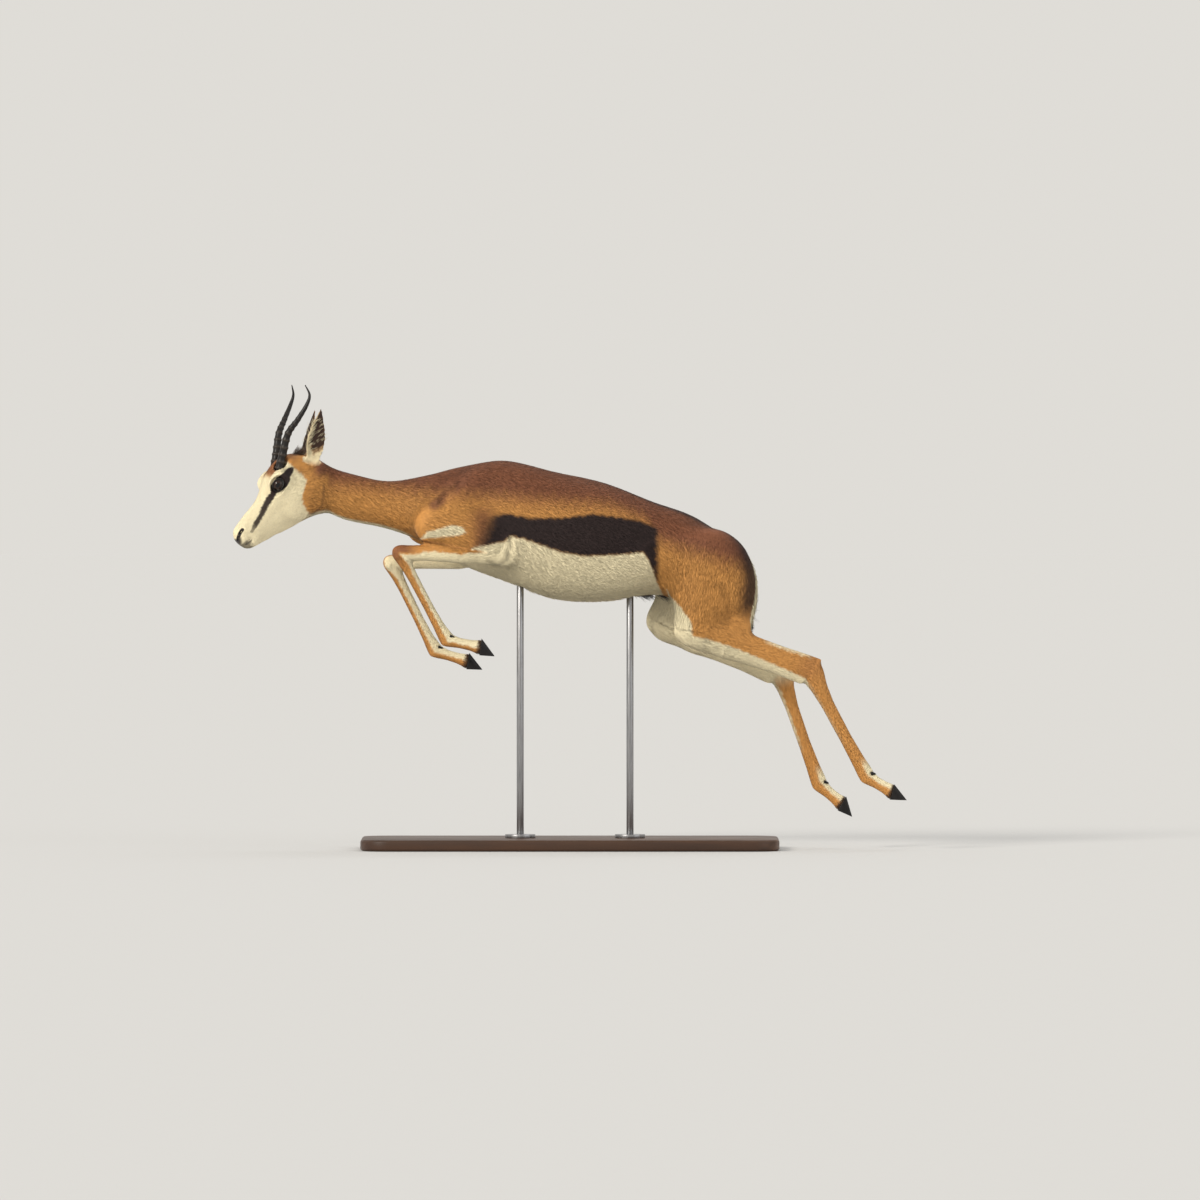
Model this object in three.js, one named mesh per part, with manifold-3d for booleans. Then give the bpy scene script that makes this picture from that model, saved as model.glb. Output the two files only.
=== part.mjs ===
// A leaping springbok as a life-size museum model, held on two rods over a flat base.
// Millimetres, +Z up. The head points to -X and the animal's left side to -Y.
// Heights are measured from the lowest hoof tip, and the finished group is lifted onto its base.
import * as THREE from "three";
import { mergeVertices } from "three/addons/utils/BufferGeometryUtils.js";
import Module from "manifold-3d";

const wasm = await Module();
wasm.setup();

const partingGap = 0.3;
const lowestHoofAboveFloor = 70;

const colours = {
  back: 0x9a5f34,
  flank: 0xc98a3c,
  pale: 0xe6d3a3,
  leg: 0xc08a48,
  horn: 0x2b2623,
  eye: 0x120c0a,
  hoof: 0x17181a,
  wood: 0x4a3424,
  steel: 0x8d8f92,
};

const material = (colour, roughness = 0.8, metalness = 0) =>
  new THREE.MeshStandardMaterial({ color: colour, roughness, metalness });

const fur = {
  head: material(colours.pale),
  neck: material(colours.back),
  torso: material(colours.flank),
  leg: material(colours.leg),
  ear: material(colours.pale),
  tail: material(colours.pale),
};
const horn = material(colours.horn, 0.45);
const eyeball = material(colours.eye, 0.1);
const hoof = material(colours.hoof, 0.4);
const wood = material(colours.wood, 0.55);
const steel = material(colours.steel, 0.35, 0.9);

const radians = THREE.MathUtils.degToRad;
const lerp = THREE.MathUtils.lerp;
const clamp = THREE.MathUtils.clamp;
const vec = (x, y, z) => new THREE.Vector3(x, y, z);

// Solids and meshes

function solidOf(geometry) {
  const bare = geometry.clone();
  bare.deleteAttribute("normal");
  bare.deleteAttribute("uv");
  const merged = mergeVertices(bare, 1e-3);
  return new wasm.Manifold(
    new wasm.Mesh({
      numProp: 3,
      vertProperties: new Float32Array(merged.attributes.position.array),
      triVerts: new Uint32Array(merged.index.array),
    }),
  );
}

// The largest closed surface of a solid, so that a loose scrap left by a cut is dropped.
function largest(solid) {
  const bodies = solid.decompose();
  return bodies.reduce((best, body) => (body.volume() > best.volume() ? body : best));
}

function meshOf(name, solid, surface) {
  const made = largest(solid).getMesh();
  const positions = new Float32Array(made.numVert * 3);
  for (let i = 0; i < made.numVert; i++) {
    const from = i * made.numProp;
    positions.set(made.vertProperties.subarray(from, from + 3), i * 3);
  }
  const geometry = new THREE.BufferGeometry();
  geometry.setAttribute("position", new THREE.BufferAttribute(positions, 3));
  geometry.setIndex(new THREE.BufferAttribute(made.triVerts, 1));
  const mesh = new THREE.Mesh(geometry, surface);
  mesh.name = name;
  return mesh;
}

// Keeps the side of a plane that its normal points to, half a gap away from the plane.
function keepSide(solid, plane, side, gap = partingGap) {
  const normal = plane.normal.clone().multiplyScalar(side);
  return solid.trimByPlane(normal.toArray(), -side * plane.constant + gap / 2);
}

const planeThrough = (point, normal) =>
  new THREE.Plane().setFromNormalAndCoplanarPoint(normal.clone().normalize(), point);

// A closed tube of rings. ringOf(i) gives the points of ring i, and a fan closes each end.
function loft(ringCount, ringOf) {
  const rings = Array.from({ length: ringCount }, (_, i) => ringOf(i));
  const sides = rings[0].length;
  const points = rings.flat();
  const ends = [rings[0], rings[ringCount - 1]].map((ring) =>
    ring.reduce((sum, p) => sum.add(p), vec(0, 0, 0)).divideScalar(sides),
  );
  points.push(...ends);
  const [startCentre, endCentre] = [points.length - 2, points.length - 1];
  const index = [];
  for (let s = 0; s < sides; s++) {
    const next = (s + 1) % sides;
    for (let r = 0; r < ringCount - 1; r++) {
      const [a, b] = [r * sides + s, r * sides + next];
      index.push(a, b, b + sides, a, b + sides, a + sides);
    }
    const last = (ringCount - 1) * sides;
    index.push(startCentre, next, s, endCentre, last + s, last + next);
  }
  const geometry = new THREE.BufferGeometry().setFromPoints(points);
  geometry.setIndex(index);
  const made = solidOf(geometry);
  if (made.volume() > 0) return made;
  geometry.setIndex(index.reverse());
  return solidOf(geometry);
}

// Signed distances of flesh, below zero inside

const blend = (a, b, width) => {
  const near = Math.max(width - Math.abs(a - b), 0) / width;
  return Math.min(a, b) - near * near * width * 0.25;
};

// A value read from a row of stations by a smooth curve through them.
function stationValue(stations, at, key) {
  const last = stations.length - 1;
  let i = 0;
  while (i < last - 1 && at > stations[i + 1].at) {
    i++;
  }
  const [p, q] = [stations[i], stations[i + 1]];
  const [before, after] = [stations[Math.max(i - 1, 0)], stations[Math.min(i + 2, last)]];
  const span = q.at - p.at;
  const t = clamp((at - p.at) / span, 0, 1);
  const slopeP = ((q[key] - before[key]) / (q.at - before.at)) * span;
  const slopeQ = ((after[key] - p[key]) / (after.at - p.at)) * span;
  const [t2, t3] = [t * t, t * t * t];
  return (
    (2 * t3 - 3 * t2 + 1) * p[key] +
    (t3 - 2 * t2 + t) * slopeP +
    (3 * t2 - 2 * t3) * q[key] +
    (t3 - t2) * slopeQ
  );
}

// A body along its own x, with a top line, a bottom line and a half width at each station.
// waist says how far down the widest line lies, and under how square the lower half is.
function barrel(stations) {
  const [start, end] = [stations[0].at, stations[stations.length - 1].at];
  return (x, y, z) => {
    const [top, bottom, half, waist, under] = ["top", "bottom", "half", "waist", "under"].map((key) =>
      stationValue(stations, x, key),
    );
    const middle = lerp(top, bottom, waist);
    const upper = z > middle;
    const height = upper ? top - middle : middle - bottom;
    const power = upper ? 1.9 : under;
    const [a, b] = [Math.abs(y) / half, Math.abs(z - middle) / height];
    const reach = Math.pow(a ** power + b ** power, 1 / power);
    const core = 0.2;
    const slope =
      Math.max(reach, core) ** (1 - power) * Math.hypot(a ** (power - 1) / half, b ** (power - 1) / height);
    const side = reach > core ? (reach - 1) / slope : -Math.min(half, height);
    return Math.max(side, x - end, start - x);
  };
}

// An ellipsoid of muscle between two tips. Its across radius lies as near to Y as it can.
function muscle(from, to, across, deep) {
  const centre = vec(...from).lerp(vec(...to), 0.5);
  const axis = vec(...to).sub(vec(...from));
  const along = axis.length() / 2;
  axis.normalize();
  const side = vec(0, 1, 0).addScaledVector(axis, -axis.y).normalize();
  const up = axis.clone().cross(side);
  const p = vec(0, 0, 0);
  return (x, y, z) => {
    p.set(x, y, z).sub(centre);
    const [u, v, w] = [p.dot(axis), p.dot(side), p.dot(up)];
    const reach = Math.hypot(u / along, v / across, w / deep);
    const slope = Math.hypot(u / along ** 2, v / across ** 2, w / deep ** 2);
    return slope < 1e-6 ? -Math.min(along, across, deep) : (reach * (reach - 1)) / slope;
  };
}

// A limb of tapered lengths. Each joint has its place, its radius r seen from the side,
// and flat, its width across over its width seen from the side.
function limb(joints, width = 8) {
  return (x, y, z) => {
    let nearest = Infinity;
    for (let i = 0; i < joints.length - 1; i++) {
      const [a, b] = [joints[i], joints[i + 1]];
      const [bx, by, bz] = [b.p.x - a.p.x, b.p.y - a.p.y, b.p.z - a.p.z];
      const [px, py, pz] = [x - a.p.x, y - a.p.y, z - a.p.z];
      const t = clamp((px * bx + pz * bz) / (bx * bx + bz * bz), 0, 1);
      const flat = lerp(a.flat, b.flat, t);
      const away = Math.hypot(px - bx * t, (py - by * t) / flat, pz - bz * t);
      const bone = away - lerp(a.r, b.r, t);
      nearest = nearest === Infinity ? bone : blend(nearest, bone, width);
    }
    return nearest;
  };
}

const together = (parts) => (x, y, z) =>
  parts.reduce((sum, [field, width]) => blend(sum, field(x, y, z), width), Infinity);

// The closed surface where a distance is zero. A grid of cells finds it, and each point is then
// moved onto it. The grid lies in a frame of its own, so that its cells can follow the head.
function surfaceOf(field, low, high, cell, frame = new THREE.Matrix4()) {
  const count = [0, 1, 2].map((i) => Math.ceil((high[i] - low[i]) / cell[i]) + 1);
  const [nx, ny] = count;
  const index = (i, j, k) => (k * ny + j) * nx + i;
  const place = vec(0, 0, 0);
  const distance = (p) => {
    place.copy(p).applyMatrix4(frame);
    return field(place.x, place.y, place.z);
  };
  const cornerAt = (...ijk) => vec(...ijk.map((n, axis) => low[axis] + n * cell[axis]));
  const onRim = (...ijk) => ijk.some((n, axis) => n === 0 || n === count[axis] - 1);
  const values = new Float64Array(count[0] * count[1] * count[2]);
  const eachCell = (upTo, use) => {
    for (let k = 0; k < count[2] - upTo; k++) {
      for (let j = 0; j < count[1] - upTo; j++) {
        for (let i = 0; i < count[0] - upTo; i++) {
          use(i, j, k);
        }
      }
    }
  };
  eachCell(0, (i, j, k) => {
    const value = distance(cornerAt(i, j, k));
    values[index(i, j, k)] = onRim(i, j, k) ? Math.max(value, cell[1]) : value;
  });
  const offsets = [0, 1, 2, 3, 4, 5, 6, 7].map((n) => [n & 1, (n >> 1) & 1, (n >> 2) & 1]);
  const cellEdges = offsets.flatMap((a, n) =>
    [0, 1, 2].filter((axis) => !a[axis]).map((axis) => [n, n | (1 << axis)]),
  );
  const points = [];
  const pointOf = new Map();
  eachCell(1, (i, j, k) => {
    const corners = offsets.map(([a, b, c]) => [i + a, j + b, k + c]);
    const held = corners.map((c) => values[index(...c)]);
    if (held.every((v) => v > 0) || held.every((v) => v <= 0)) return;
    const sum = vec(0, 0, 0);
    let crossings = 0;
    for (const [a, b] of cellEdges) {
      if (held[a] > 0 === held[b] > 0) continue;
      const share = held[a] / (held[a] - held[b]);
      sum.add(cornerAt(...corners[a]).lerp(cornerAt(...corners[b]), share));
      crossings++;
    }
    sum.divideScalar(crossings);
    if (!corners.some((c) => onRim(...c))) moveOnto(sum);
    pointOf.set(index(i, j, k), points.length);
    points.push(sum);
  });
  function moveOnto(p) {
    const probe = 0.5;
    const most = Math.min(...cell) * 0.6;
    for (let step = 0; step < 3; step++) {
      const here = distance(p);
      const slope = vec(
        distance(p.clone().setX(p.x + probe)) - here,
        distance(p.clone().setY(p.y + probe)) - here,
        distance(p.clone().setZ(p.z + probe)) - here,
      ).divideScalar(probe);
      const move = slope.multiplyScalar(-here / Math.max(slope.lengthSq(), 0.05));
      p.add(move.clampLength(0, most));
    }
  }
  const faces = [];
  const quad = [[0, 0], [1, 0], [1, 1], [0, 1]];
  eachCell(1, (i, j, k) => {
    [0, 1, 2].forEach((axis) => {
      const step = [0, 0, 0];
      step[axis] = 1;
      const here = values[index(i, j, k)];
      const there = values[index(i + step[0], j + step[1], k + step[2])];
      if (here > 0 === there > 0) return;
      const [u, v] = [(axis + 1) % 3, (axis + 2) % 3];
      const around = quad.map(([du, dv]) => {
        const at = [i, j, k];
        at[u] -= du;
        at[v] -= dv;
        return pointOf.get(index(...at));
      });
      if (there > 0) around.reverse();
      const [a, b, c, d] = around;
      const shortAC = points[a].distanceTo(points[c]) <= points[b].distanceTo(points[d]);
      faces.push(...(shortAC ? [c, b, a, d, c, a] : [b, a, d, d, c, b]));
    });
  });
  points.forEach((p) => p.applyMatrix4(frame));
  const geometry = new THREE.BufferGeometry().setFromPoints(points);
  geometry.setIndex(faces);
  const made = solidOf(geometry);
  if (made.volume() < 0) throw new Error("a surface came out inside out");
  return made;
}

// Trunk and neck: the top and bottom lines from the nape to the rump

const trunkLine = [
  { at: -575, top: 803, bottom: 690, half: 38, waist: 0.5, under: 2 },
  { at: -495, top: 781, bottom: 663, half: 36, waist: 0.5, under: 2 },
  { at: -414, top: 763, bottom: 647, half: 38, waist: 0.55, under: 2 },
  { at: -338, top: 772, bottom: 620, half: 54, waist: 0.6, under: 2 },
  { at: -248, top: 794, bottom: 567, half: 72, waist: 0.58, under: 1.8 },
  { at: -146, top: 808, bottom: 529, half: 94, waist: 0.56, under: 1.8 },
  { at: -34, top: 782, bottom: 490, half: 110, waist: 0.56, under: 2 },
  { at: 79, top: 757, bottom: 485, half: 111, waist: 0.55, under: 2.1 },
  { at: 191, top: 713, bottom: 500, half: 94, waist: 0.5, under: 2 },
  { at: 270, top: 686, bottom: 486, half: 86, waist: 0.45, under: 2 },
  { at: 330, top: 649, bottom: 462, half: 78, waist: 0.4, under: 2 },
  { at: 380, top: 606, bottom: 452, half: 56, waist: 0.4, under: 2 },
  { at: 412, top: 560, bottom: 490, half: 20, waist: 0.5, under: 2 },
];
const trunk = barrel(trunkLine);

// Legs: bone lengths in mm, half the track at each joint, and the angle of each bone up from +X

const foreBones = [161, 217, 222, 78];
const hindBones = [163, 273, 264, 67];
const foreTrack = [80, 86, 62, 54, 52];
const hindTrack = [60, 80, 62, 57, 55];
const legPoses = {
  foreleg_left: { side: -1, root: [-313, 662], angles: [-23, 180.6, -62.1, -11.6], sole: -4 },
  foreleg_right: { side: 1, root: [-333, 657], angles: [-25, 184.1, -63.7, -16.9], sole: -2 },
  hindleg_left: { side: -1, root: [320, 580], angles: [-102.4, -20.1, -61.9, -30], sole: -2 },
  hindleg_right: { side: 1, root: [304, 576], angles: [-119.3, -23.9, -70.8, -39.6], sole: -24 },
};

// The joints of a leg, from its root to the top of its hoof.
function jointsOf(pose, bones, track) {
  const joints = [vec(pose.root[0], pose.side * track[0], pose.root[1])];
  bones.forEach((length, i) => {
    const angle = radians(pose.angles[i]);
    const next = joints[i].clone().add(vec(Math.cos(angle) * length, 0, Math.sin(angle) * length));
    next.y = pose.side * track[i + 1];
    joints.push(next);
  });
  return joints;
}

// Rows of bone, share along it, radius seen from the side, and width across over that.
const foreRoot = [
  [0, 0.0, 36, 0.7],
  [0, 0.6, 34, 0.7],
  [1, 0.0, 30, 0.74],
  [1, 0.28, 28, 0.72],
];
const hindRoot = [
  [0, 0.0, 74, 0.6],
  [0, 0.55, 62, 0.6],
  [1, 0.0, 42, 0.75],
  [1, 0.25, 40, 0.66],
  [1, 0.42, 36, 0.6],
];

const fleshAlong = (joints, rows) =>
  rows.map(([bone, share, r, flat]) => ({
    p: joints[bone].clone().lerp(joints[bone + 1], share),
    r,
    flat,
  }));

function foreleg(name) {
  const pose = legPoses[name];
  const joints = jointsOf(pose, foreBones, foreTrack);
  const [shoulder, elbow] = joints;
  const from = (joint, dx, across, dz) => [joint.x + dx, pose.side * across, joint.z + dz];
  const olecranon = muscle(from(elbow, -38, 82, 14), from(elbow, 26, 84, -12), 15, 20);
  const root = together([
    [limb(fleshAlong(joints, foreRoot)), 1],
    [olecranon, 12],
    [muscle(from(shoulder, 10, 82, 22), from(elbow, 10, 84, 6), 24, 46), 26],
    [muscle(from(shoulder, -10, 74, -24), from(shoulder, 122, 40, 116), 20, 42), 26],
    [muscle(from(shoulder, -32, 56, -28), from(shoulder, 44, 66, 22), 26, 36), 24],
  ]);
  const outline = [
    [shoulder.x + 83, shoulder.z + 50, 50],
    [shoulder.x + 43, shoulder.z - 7, 78],
    [elbow.x - 11, elbow.z + 7, 52],
  ];
  return { name, kind: "fore", pose, joints, root, outline, inner: 44 };
}

function hindleg(name) {
  const pose = legPoses[name];
  const joints = jointsOf(pose, hindBones, hindTrack);
  const [hip, stifle, hock] = joints;
  const from = (joint, dx, across, dz) => [joint.x + dx, pose.side * across, joint.z + dz];
  const kneecap = muscle(from(stifle, -40, 80, -18), from(stifle, -2, 78, 62), 26, 30);
  const calf = muscle(from(stifle, 50, 72, 10), from(hock, -120, 66, 58), 17, 26);
  const root = together([
    [limb(fleshAlong(joints, hindRoot)), 1],
    [kneecap, 24],
    [calf, 20],
    [muscle(from(hip, -70, 50, 36), from(hip, 66, 50, -130), 44, 96), 36],
    [muscle([368, pose.side * 44, 606], [392, pose.side * 46, 424], 32, 36), 30],
  ]);
  const outline = [
    [hip.x + 8, hip.z - 34, 100],
    [stifle.x + 18, stifle.z - 10, 122],
  ];
  return { name, kind: "hind", pose, joints, root, outline, inner: 28 };
}

const forelegs = ["foreleg_left", "foreleg_right"].map(foreleg);
const hindlegs = ["hindleg_left", "hindleg_right"].map(hindleg);
const legs = [...forelegs, ...hindlegs];

// Head: x runs back from the nose tip along the face, z towards the forehead

const headPitch = 43;
const headYaw = 22;
const noseTip = vec(-765.7, 0, 632.3);
const nape = vec(-571.5, 0, 745);

// The crown frame is the head turned but not pitched, about the nape.
const crownFrame = new THREE.Matrix4()
  .makeTranslation(nape.x, nape.y, nape.z)
  .multiply(new THREE.Matrix4().makeRotationZ(radians(headYaw)));
const headFrame = crownFrame
  .clone()
  .multiply(new THREE.Matrix4().makeTranslation(noseTip.x - nape.x, 0, noseTip.z - nape.z))
  .multiply(new THREE.Matrix4().makeRotationY(radians(-headPitch)));
const toHead = headFrame.clone().invert();

const headLine = [
  { at: -6, top: -8, bottom: -22, half: 6, waist: 0.5, under: 2 },
  { at: 1, top: 9, bottom: -37, half: 15, waist: 0.45, under: 1.8 },
  { at: 15, top: 18, bottom: -46, half: 18, waist: 0.45, under: 1.8 },
  { at: 42, top: 23, bottom: -56, half: 19, waist: 0.45, under: 1.7 },
  { at: 70, top: 25, bottom: -64, half: 22, waist: 0.42, under: 1.6 },
  { at: 95, top: 29, bottom: -73, half: 27, waist: 0.4, under: 1.6 },
  { at: 122, top: 40, bottom: -82, half: 36, waist: 0.34, under: 1.6 },
  { at: 148, top: 52, bottom: -88, half: 42, waist: 0.3, under: 1.7 },
  { at: 176, top: 60, bottom: -90, half: 43, waist: 0.32, under: 1.8 },
  { at: 206, top: 58, bottom: -82, half: 41, waist: 0.38, under: 2 },
  { at: 236, top: 38, bottom: -60, half: 37, waist: 0.45, under: 2 },
  { at: 256, top: 8, bottom: -34, half: 26, waist: 0.5, under: 2 },
];
const headShape = together([
  [barrel(headLine), 1],
  ...[-1, 1].flatMap((side) => [
    [muscle([122, side * 33, 22], [178, side * 35, 32], 14, 22), 12],
    [muscle([128, side * 37, 37], [172, side * 40, 46], 7, 6), 8],
    [muscle([128, side * 24, -60], [206, side * 34, -30], 12, 34), 18],
    [muscle([-2, side * 11, -6], [28, side * 12, -2], 9, 13), 8],
    [muscle([2, side * 9, -32], [40, side * 10, -34], 8, 11), 8],
  ]),
]);
const headPoint = vec(0, 0, 0);
const head = (x, y, z) => {
  headPoint.set(x, y, z).applyMatrix4(toHead);
  return headShape(headPoint.x, headPoint.y, headPoint.z);
};

// Whole surfaces of the body and of the head

const trunkCell = [31, 19.5, 19.5];
const headCell = [11.5, 9.5, 10];
const napeBlend = 34;
const bodyFlesh = together([
  [trunk, 1],
  [head, napeBlend],
  ...forelegs.map((leg) => [leg.root, 22]),
  ...hindlegs.map((leg) => [leg.root, 26]),
]);
const headFlesh = together([
  [trunk, 1],
  [head, napeBlend],
]);
let body = surfaceOf(bodyFlesh, [-572, -150, 260], [450, 150, 830], trunkCell);
let skull = surfaceOf(headFlesh, [-16, -74, -127], [330, 72, 92], headCell, headFrame);

// The head meets the neck on a plane behind the ears and the jaw, and the neck meets the torso
// on one in front of the shoulders.
const napePlane = planeThrough(vec(-545, 0, 740), vec(1, 0, -0.12));
const neckPlane = planeThrough(vec(-346, 0, 700), vec(1, 0, -0.35));
skull = keepSide(skull, napePlane, -1);

// Fitted pieces: a piece keeps its shape, and what it is set in is cut back round it

const springbok = new THREE.Group();
springbok.name = "leaping_springbok";
const add = (name, solid, surface) => springbok.add(meshOf(name, solid, surface));

// A prism across the body between two distances from the middle.
// Its outline is the hull of some circles, each [x, z, radius].
function prismAcross(circles, near, far, side, grow) {
  const steps = 26;
  const outline = Array.from({ length: steps }, (_, i) => {
    const angle = (i / steps) * 2 * Math.PI;
    const [c, s] = [Math.cos(angle), Math.sin(angle)];
    const [x, z, r] = circles.reduce((best, circle) =>
      circle[0] * c + circle[1] * s + circle[2] > best[0] * c + best[1] * s + best[2] ? circle : best,
    );
    return new THREE.Vector2(x + c * (r + grow), z + s * (r + grow));
  });
  const depth = far - near + grow;
  const shape = new THREE.Shape(outline);
  const geometry = new THREE.ExtrudeGeometry(shape, { depth, bevelEnabled: false });
  geometry.rotateX(Math.PI / 2);
  geometry.translate(0, side > 0 ? far : grow - near, 0);
  return solidOf(geometry);
}

// Below the elbow and the stifle each length of a leg is a row of oval sections square to its bone.
// A row is share along the bone, radius seen from the side, width across over that, and shift
// towards the back of the leg.
const legLengths = {
  fore: {
    forearm: {
      bone: 1,
      sides: 12,
      rows: [
        [0.05, 29, 0.72, 0],
        [0.3, 28, 0.7, 0],
        [0.5, 24, 0.8, 0],
        [0.72, 19.5, 0.9, 0],
        [0.9, 19, 0.95, 0],
        [1, 20, 0.95, 0],
        [1.055, 16.5, 0.95, 0],
        [1.085, 9, 0.95, 0],
      ],
    },
    cannon: {
      bone: 2,
      sides: 10,
      rows: [
        [-0.083, 9, 0.95, 0],
        [-0.053, 16.5, 0.95, 0],
        [0, 20, 0.95, 0],
        [0.16, 14.5, 1, 0],
        [0.3, 12.7, 1, 0],
        [0.65, 12.2, 1, 0],
        [0.85, 14, 1, 0.5],
        [0.96, 17.5, 0.92, 2],
        [1.1, 17.5, 0.92, 2],
      ],
    },
    pastern: {
      bone: 3,
      sides: 10,
      rows: [
        [-0.3, 17, 0.95, 1],
        [0.1, 16, 1, 1],
        [0.4, 12.4, 1.15, 0],
        [0.72, 13, 1.2, 0],
        [0.95, 16.5, 1.05, 0],
        [1.2, 17.5, 1, 0],
      ],
    },
  },
  hind: {
    gaskin: {
      bone: 1,
      sides: 12,
      rows: [
        [0.1, 41, 0.68, 0],
        [0.3, 39, 0.66, 1],
        [0.5, 36, 0.6, 2],
        [0.7, 34.5, 0.5, 3],
        [0.88, 36, 0.42, 3],
        [1.2, 37, 0.42, 3],
      ],
    },
    cannon: {
      bone: 2,
      sides: 10,
      rows: [
        [-0.16, 32, 0.5, 3],
        [0.03, 28, 0.6, 2],
        [0.14, 20.5, 0.78, 1],
        [0.3, 16, 0.85, 0],
        [0.62, 14.8, 0.88, 0],
        [0.84, 16.5, 0.9, 1],
        [0.96, 19, 0.88, 2],
        [1.1, 19, 0.88, 2],
      ],
    },
    pastern: {
      bone: 3,
      sides: 10,
      rows: [
        [-0.35, 19, 0.9, 1],
        [0.1, 17.5, 0.95, 1],
        [0.42, 14, 1.08, 0],
        [0.72, 14.3, 1.12, 0],
        [0.95, 17, 1.02, 0],
        [1.25, 18, 1, 0],
      ],
    },
  },
};

function limbLength(joints, { bone, sides, rows }, grow = 0) {
  const [start, end] = [joints[bone], joints[bone + 1]];
  const along = end.clone().sub(start).normalize();
  const across = vec(0, 1, 0).addScaledVector(along, -along.y).normalize();
  const behind = across.clone().cross(along).negate();
  return loft(rows.length, (i) => {
    const [share, r, flat, shift] = rows[i];
    const centre = start.clone().lerp(end, share).addScaledVector(behind, shift);
    return Array.from({ length: sides }, (_, k) => {
      const angle = ((k + 0.5) / sides) * 2 * Math.PI;
      return centre
        .clone()
        .addScaledVector(across, Math.cos(angle) * (r * flat + grow))
        .addScaledVector(behind, Math.sin(angle) * (r + grow));
    });
  });
}

// The plane that halves the bend between two bones at a joint, facing down the leg.
function bendPlane(joints, at) {
  const before = joints[at].clone().sub(joints[at - 1]).normalize();
  const after = joints[at + 1].clone().sub(joints[at]).normalize();
  return planeThrough(joints[at], before.add(after));
}

// Hooves: two claws on each foot, pointed in front and flat below, with a soft heel

const claw = {
  length: 37,
  height: 40,
  width: 15.5,
  apart: 8.6,
  splay: 3,
  toeSlope: 0.86,
  heelSlope: 0.42,
  heelBack: 4,
};

function clawSolid(footFrame, side) {
  const levels = [0, 0.3, 0.65, 1.15];
  const made = loft(levels.length, (i) => {
    const up = levels[i] * claw.height;
    const toe = claw.length - up * claw.toeSlope;
    const heel = -claw.heelBack - up * claw.heelSlope;
    const points = 10;
    return Array.from({ length: points }, (_, k) => {
      const angle = ((k + 0.5) / points) * 2 * Math.PI;
      const forward = (1 + Math.cos(angle)) / 2;
      const point = Math.sqrt(Math.sin((Math.PI / 2) * lerp(1, 0.16, forward)));
      const half = (claw.width / 2) * point * (1 - 0.12 * levels[i]);
      return vec(lerp(heel, toe, forward), Math.sin(angle) * half, up);
    });
  });
  const turn = new THREE.Matrix4()
    .makeTranslation(0, side * claw.apart, 0)
    .multiply(new THREE.Matrix4().makeRotationZ(radians(side * claw.splay)));
  return made.transform(footFrame.clone().multiply(turn).toArray());
}

// The foot's frame lies at the heel, x along the sole to the toe.
function footFrameOf(coronet, sole) {
  const turn = new THREE.Matrix4().makeRotationY(radians(-sole));
  const heel = vec(-2, 0, -18).applyMatrix4(turn).add(coronet);
  return turn.setPosition(heel);
}

const dewclaw = { radius: 5.2, length: 17, apart: 9, back: { fore: 15, hind: 18 } };

function dewclawSolid(joints, side, back, grow) {
  const bone = joints[3].clone().sub(joints[2]).normalize();
  const behind = vec(-bone.z, 0, bone.x);
  const tip = bone.clone().multiplyScalar(0.75).add(behind).normalize();
  const geometry = new THREE.ConeGeometry(dewclaw.radius + grow, dewclaw.length + grow * 2, 7);
  const place = joints[3].clone().addScaledVector(behind, back).addScaledVector(bone, 4);
  place.y += side * dewclaw.apart;
  const turn = new THREE.Quaternion().setFromUnitVectors(vec(0, 1, 0), tip);
  geometry.applyMatrix4(new THREE.Matrix4().compose(place, turn, vec(1, 1, 1)));
  return solidOf(geometry);
}

// Each leg: its root is cut from the body by a prism, and its lower lengths part on planes across the bones

const rootGrow = 0.8;
const rootNames = { fore: "shoulder", hind: "thigh" };
const freeFrom = { fore: 0.24, hind: 0.3 };

for (const leg of legs) {
  const { kind, joints, pose } = leg;
  const footDirection = vec(Math.cos(radians(pose.sole)), 0, Math.sin(radians(pose.sole)));
  const planes = [
    null,
    planeThrough(joints[1].clone().lerp(joints[2], freeFrom[kind]), joints[2].clone().sub(joints[1])),
    bendPlane(joints, 2),
    bendPlane(joints, 3),
    planeThrough(joints[4], joints[4].clone().sub(joints[3]).normalize().add(footDirection)),
  ];
  const lengths = Object.entries(legLengths[kind]);
  const socket = keepSide(limbLength(joints, lengths[0][1], rootGrow), planes[1], 1, 0);
  const clear = body.subtract(socket);
  body = clear.subtract(prismAcross(leg.outline, leg.inner, 170, pose.side, partingGap));
  const root = clear.intersect(prismAcross(leg.outline, leg.inner, 168, pose.side, 0));
  add(`${leg.name}_${rootNames[kind]}`, root, fur.leg);

  const dewclaws = [-1, 1].map((side) =>
    [0, partingGap].map((grow) => dewclawSolid(joints, side, dewclaw.back[kind], grow)),
  );
  for (const [part, length] of lengths) {
    const above = planes[length.bone];
    const below = planes[length.bone + 1];
    const whole = keepSide(keepSide(limbLength(joints, length), above, 1), below, -1);
    const seats = length.bone > 1 ? dewclaws.map(([, larger]) => larger) : [];
    const solid = seats.reduce((rest, seat) => rest.subtract(seat), whole);
    add(`${leg.name}_${part}`, solid, fur.leg);
  }
  const footFrame = footFrameOf(joints[4], pose.sole);
  [-1, 1].forEach((side, i) => {
    const place = side === pose.side ? "outer" : "inner";
    add(`${leg.name}_claw_${place}`, keepSide(clawSolid(footFrame, side), planes[4], 1), hoof);
    add(`${leg.name}_dewclaw_${place}`, dewclaws[i][0], hoof);
  });
}

// Tail: a thin dock that lies in the cleft of the rump and ends in a tuft of flat locks

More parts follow.
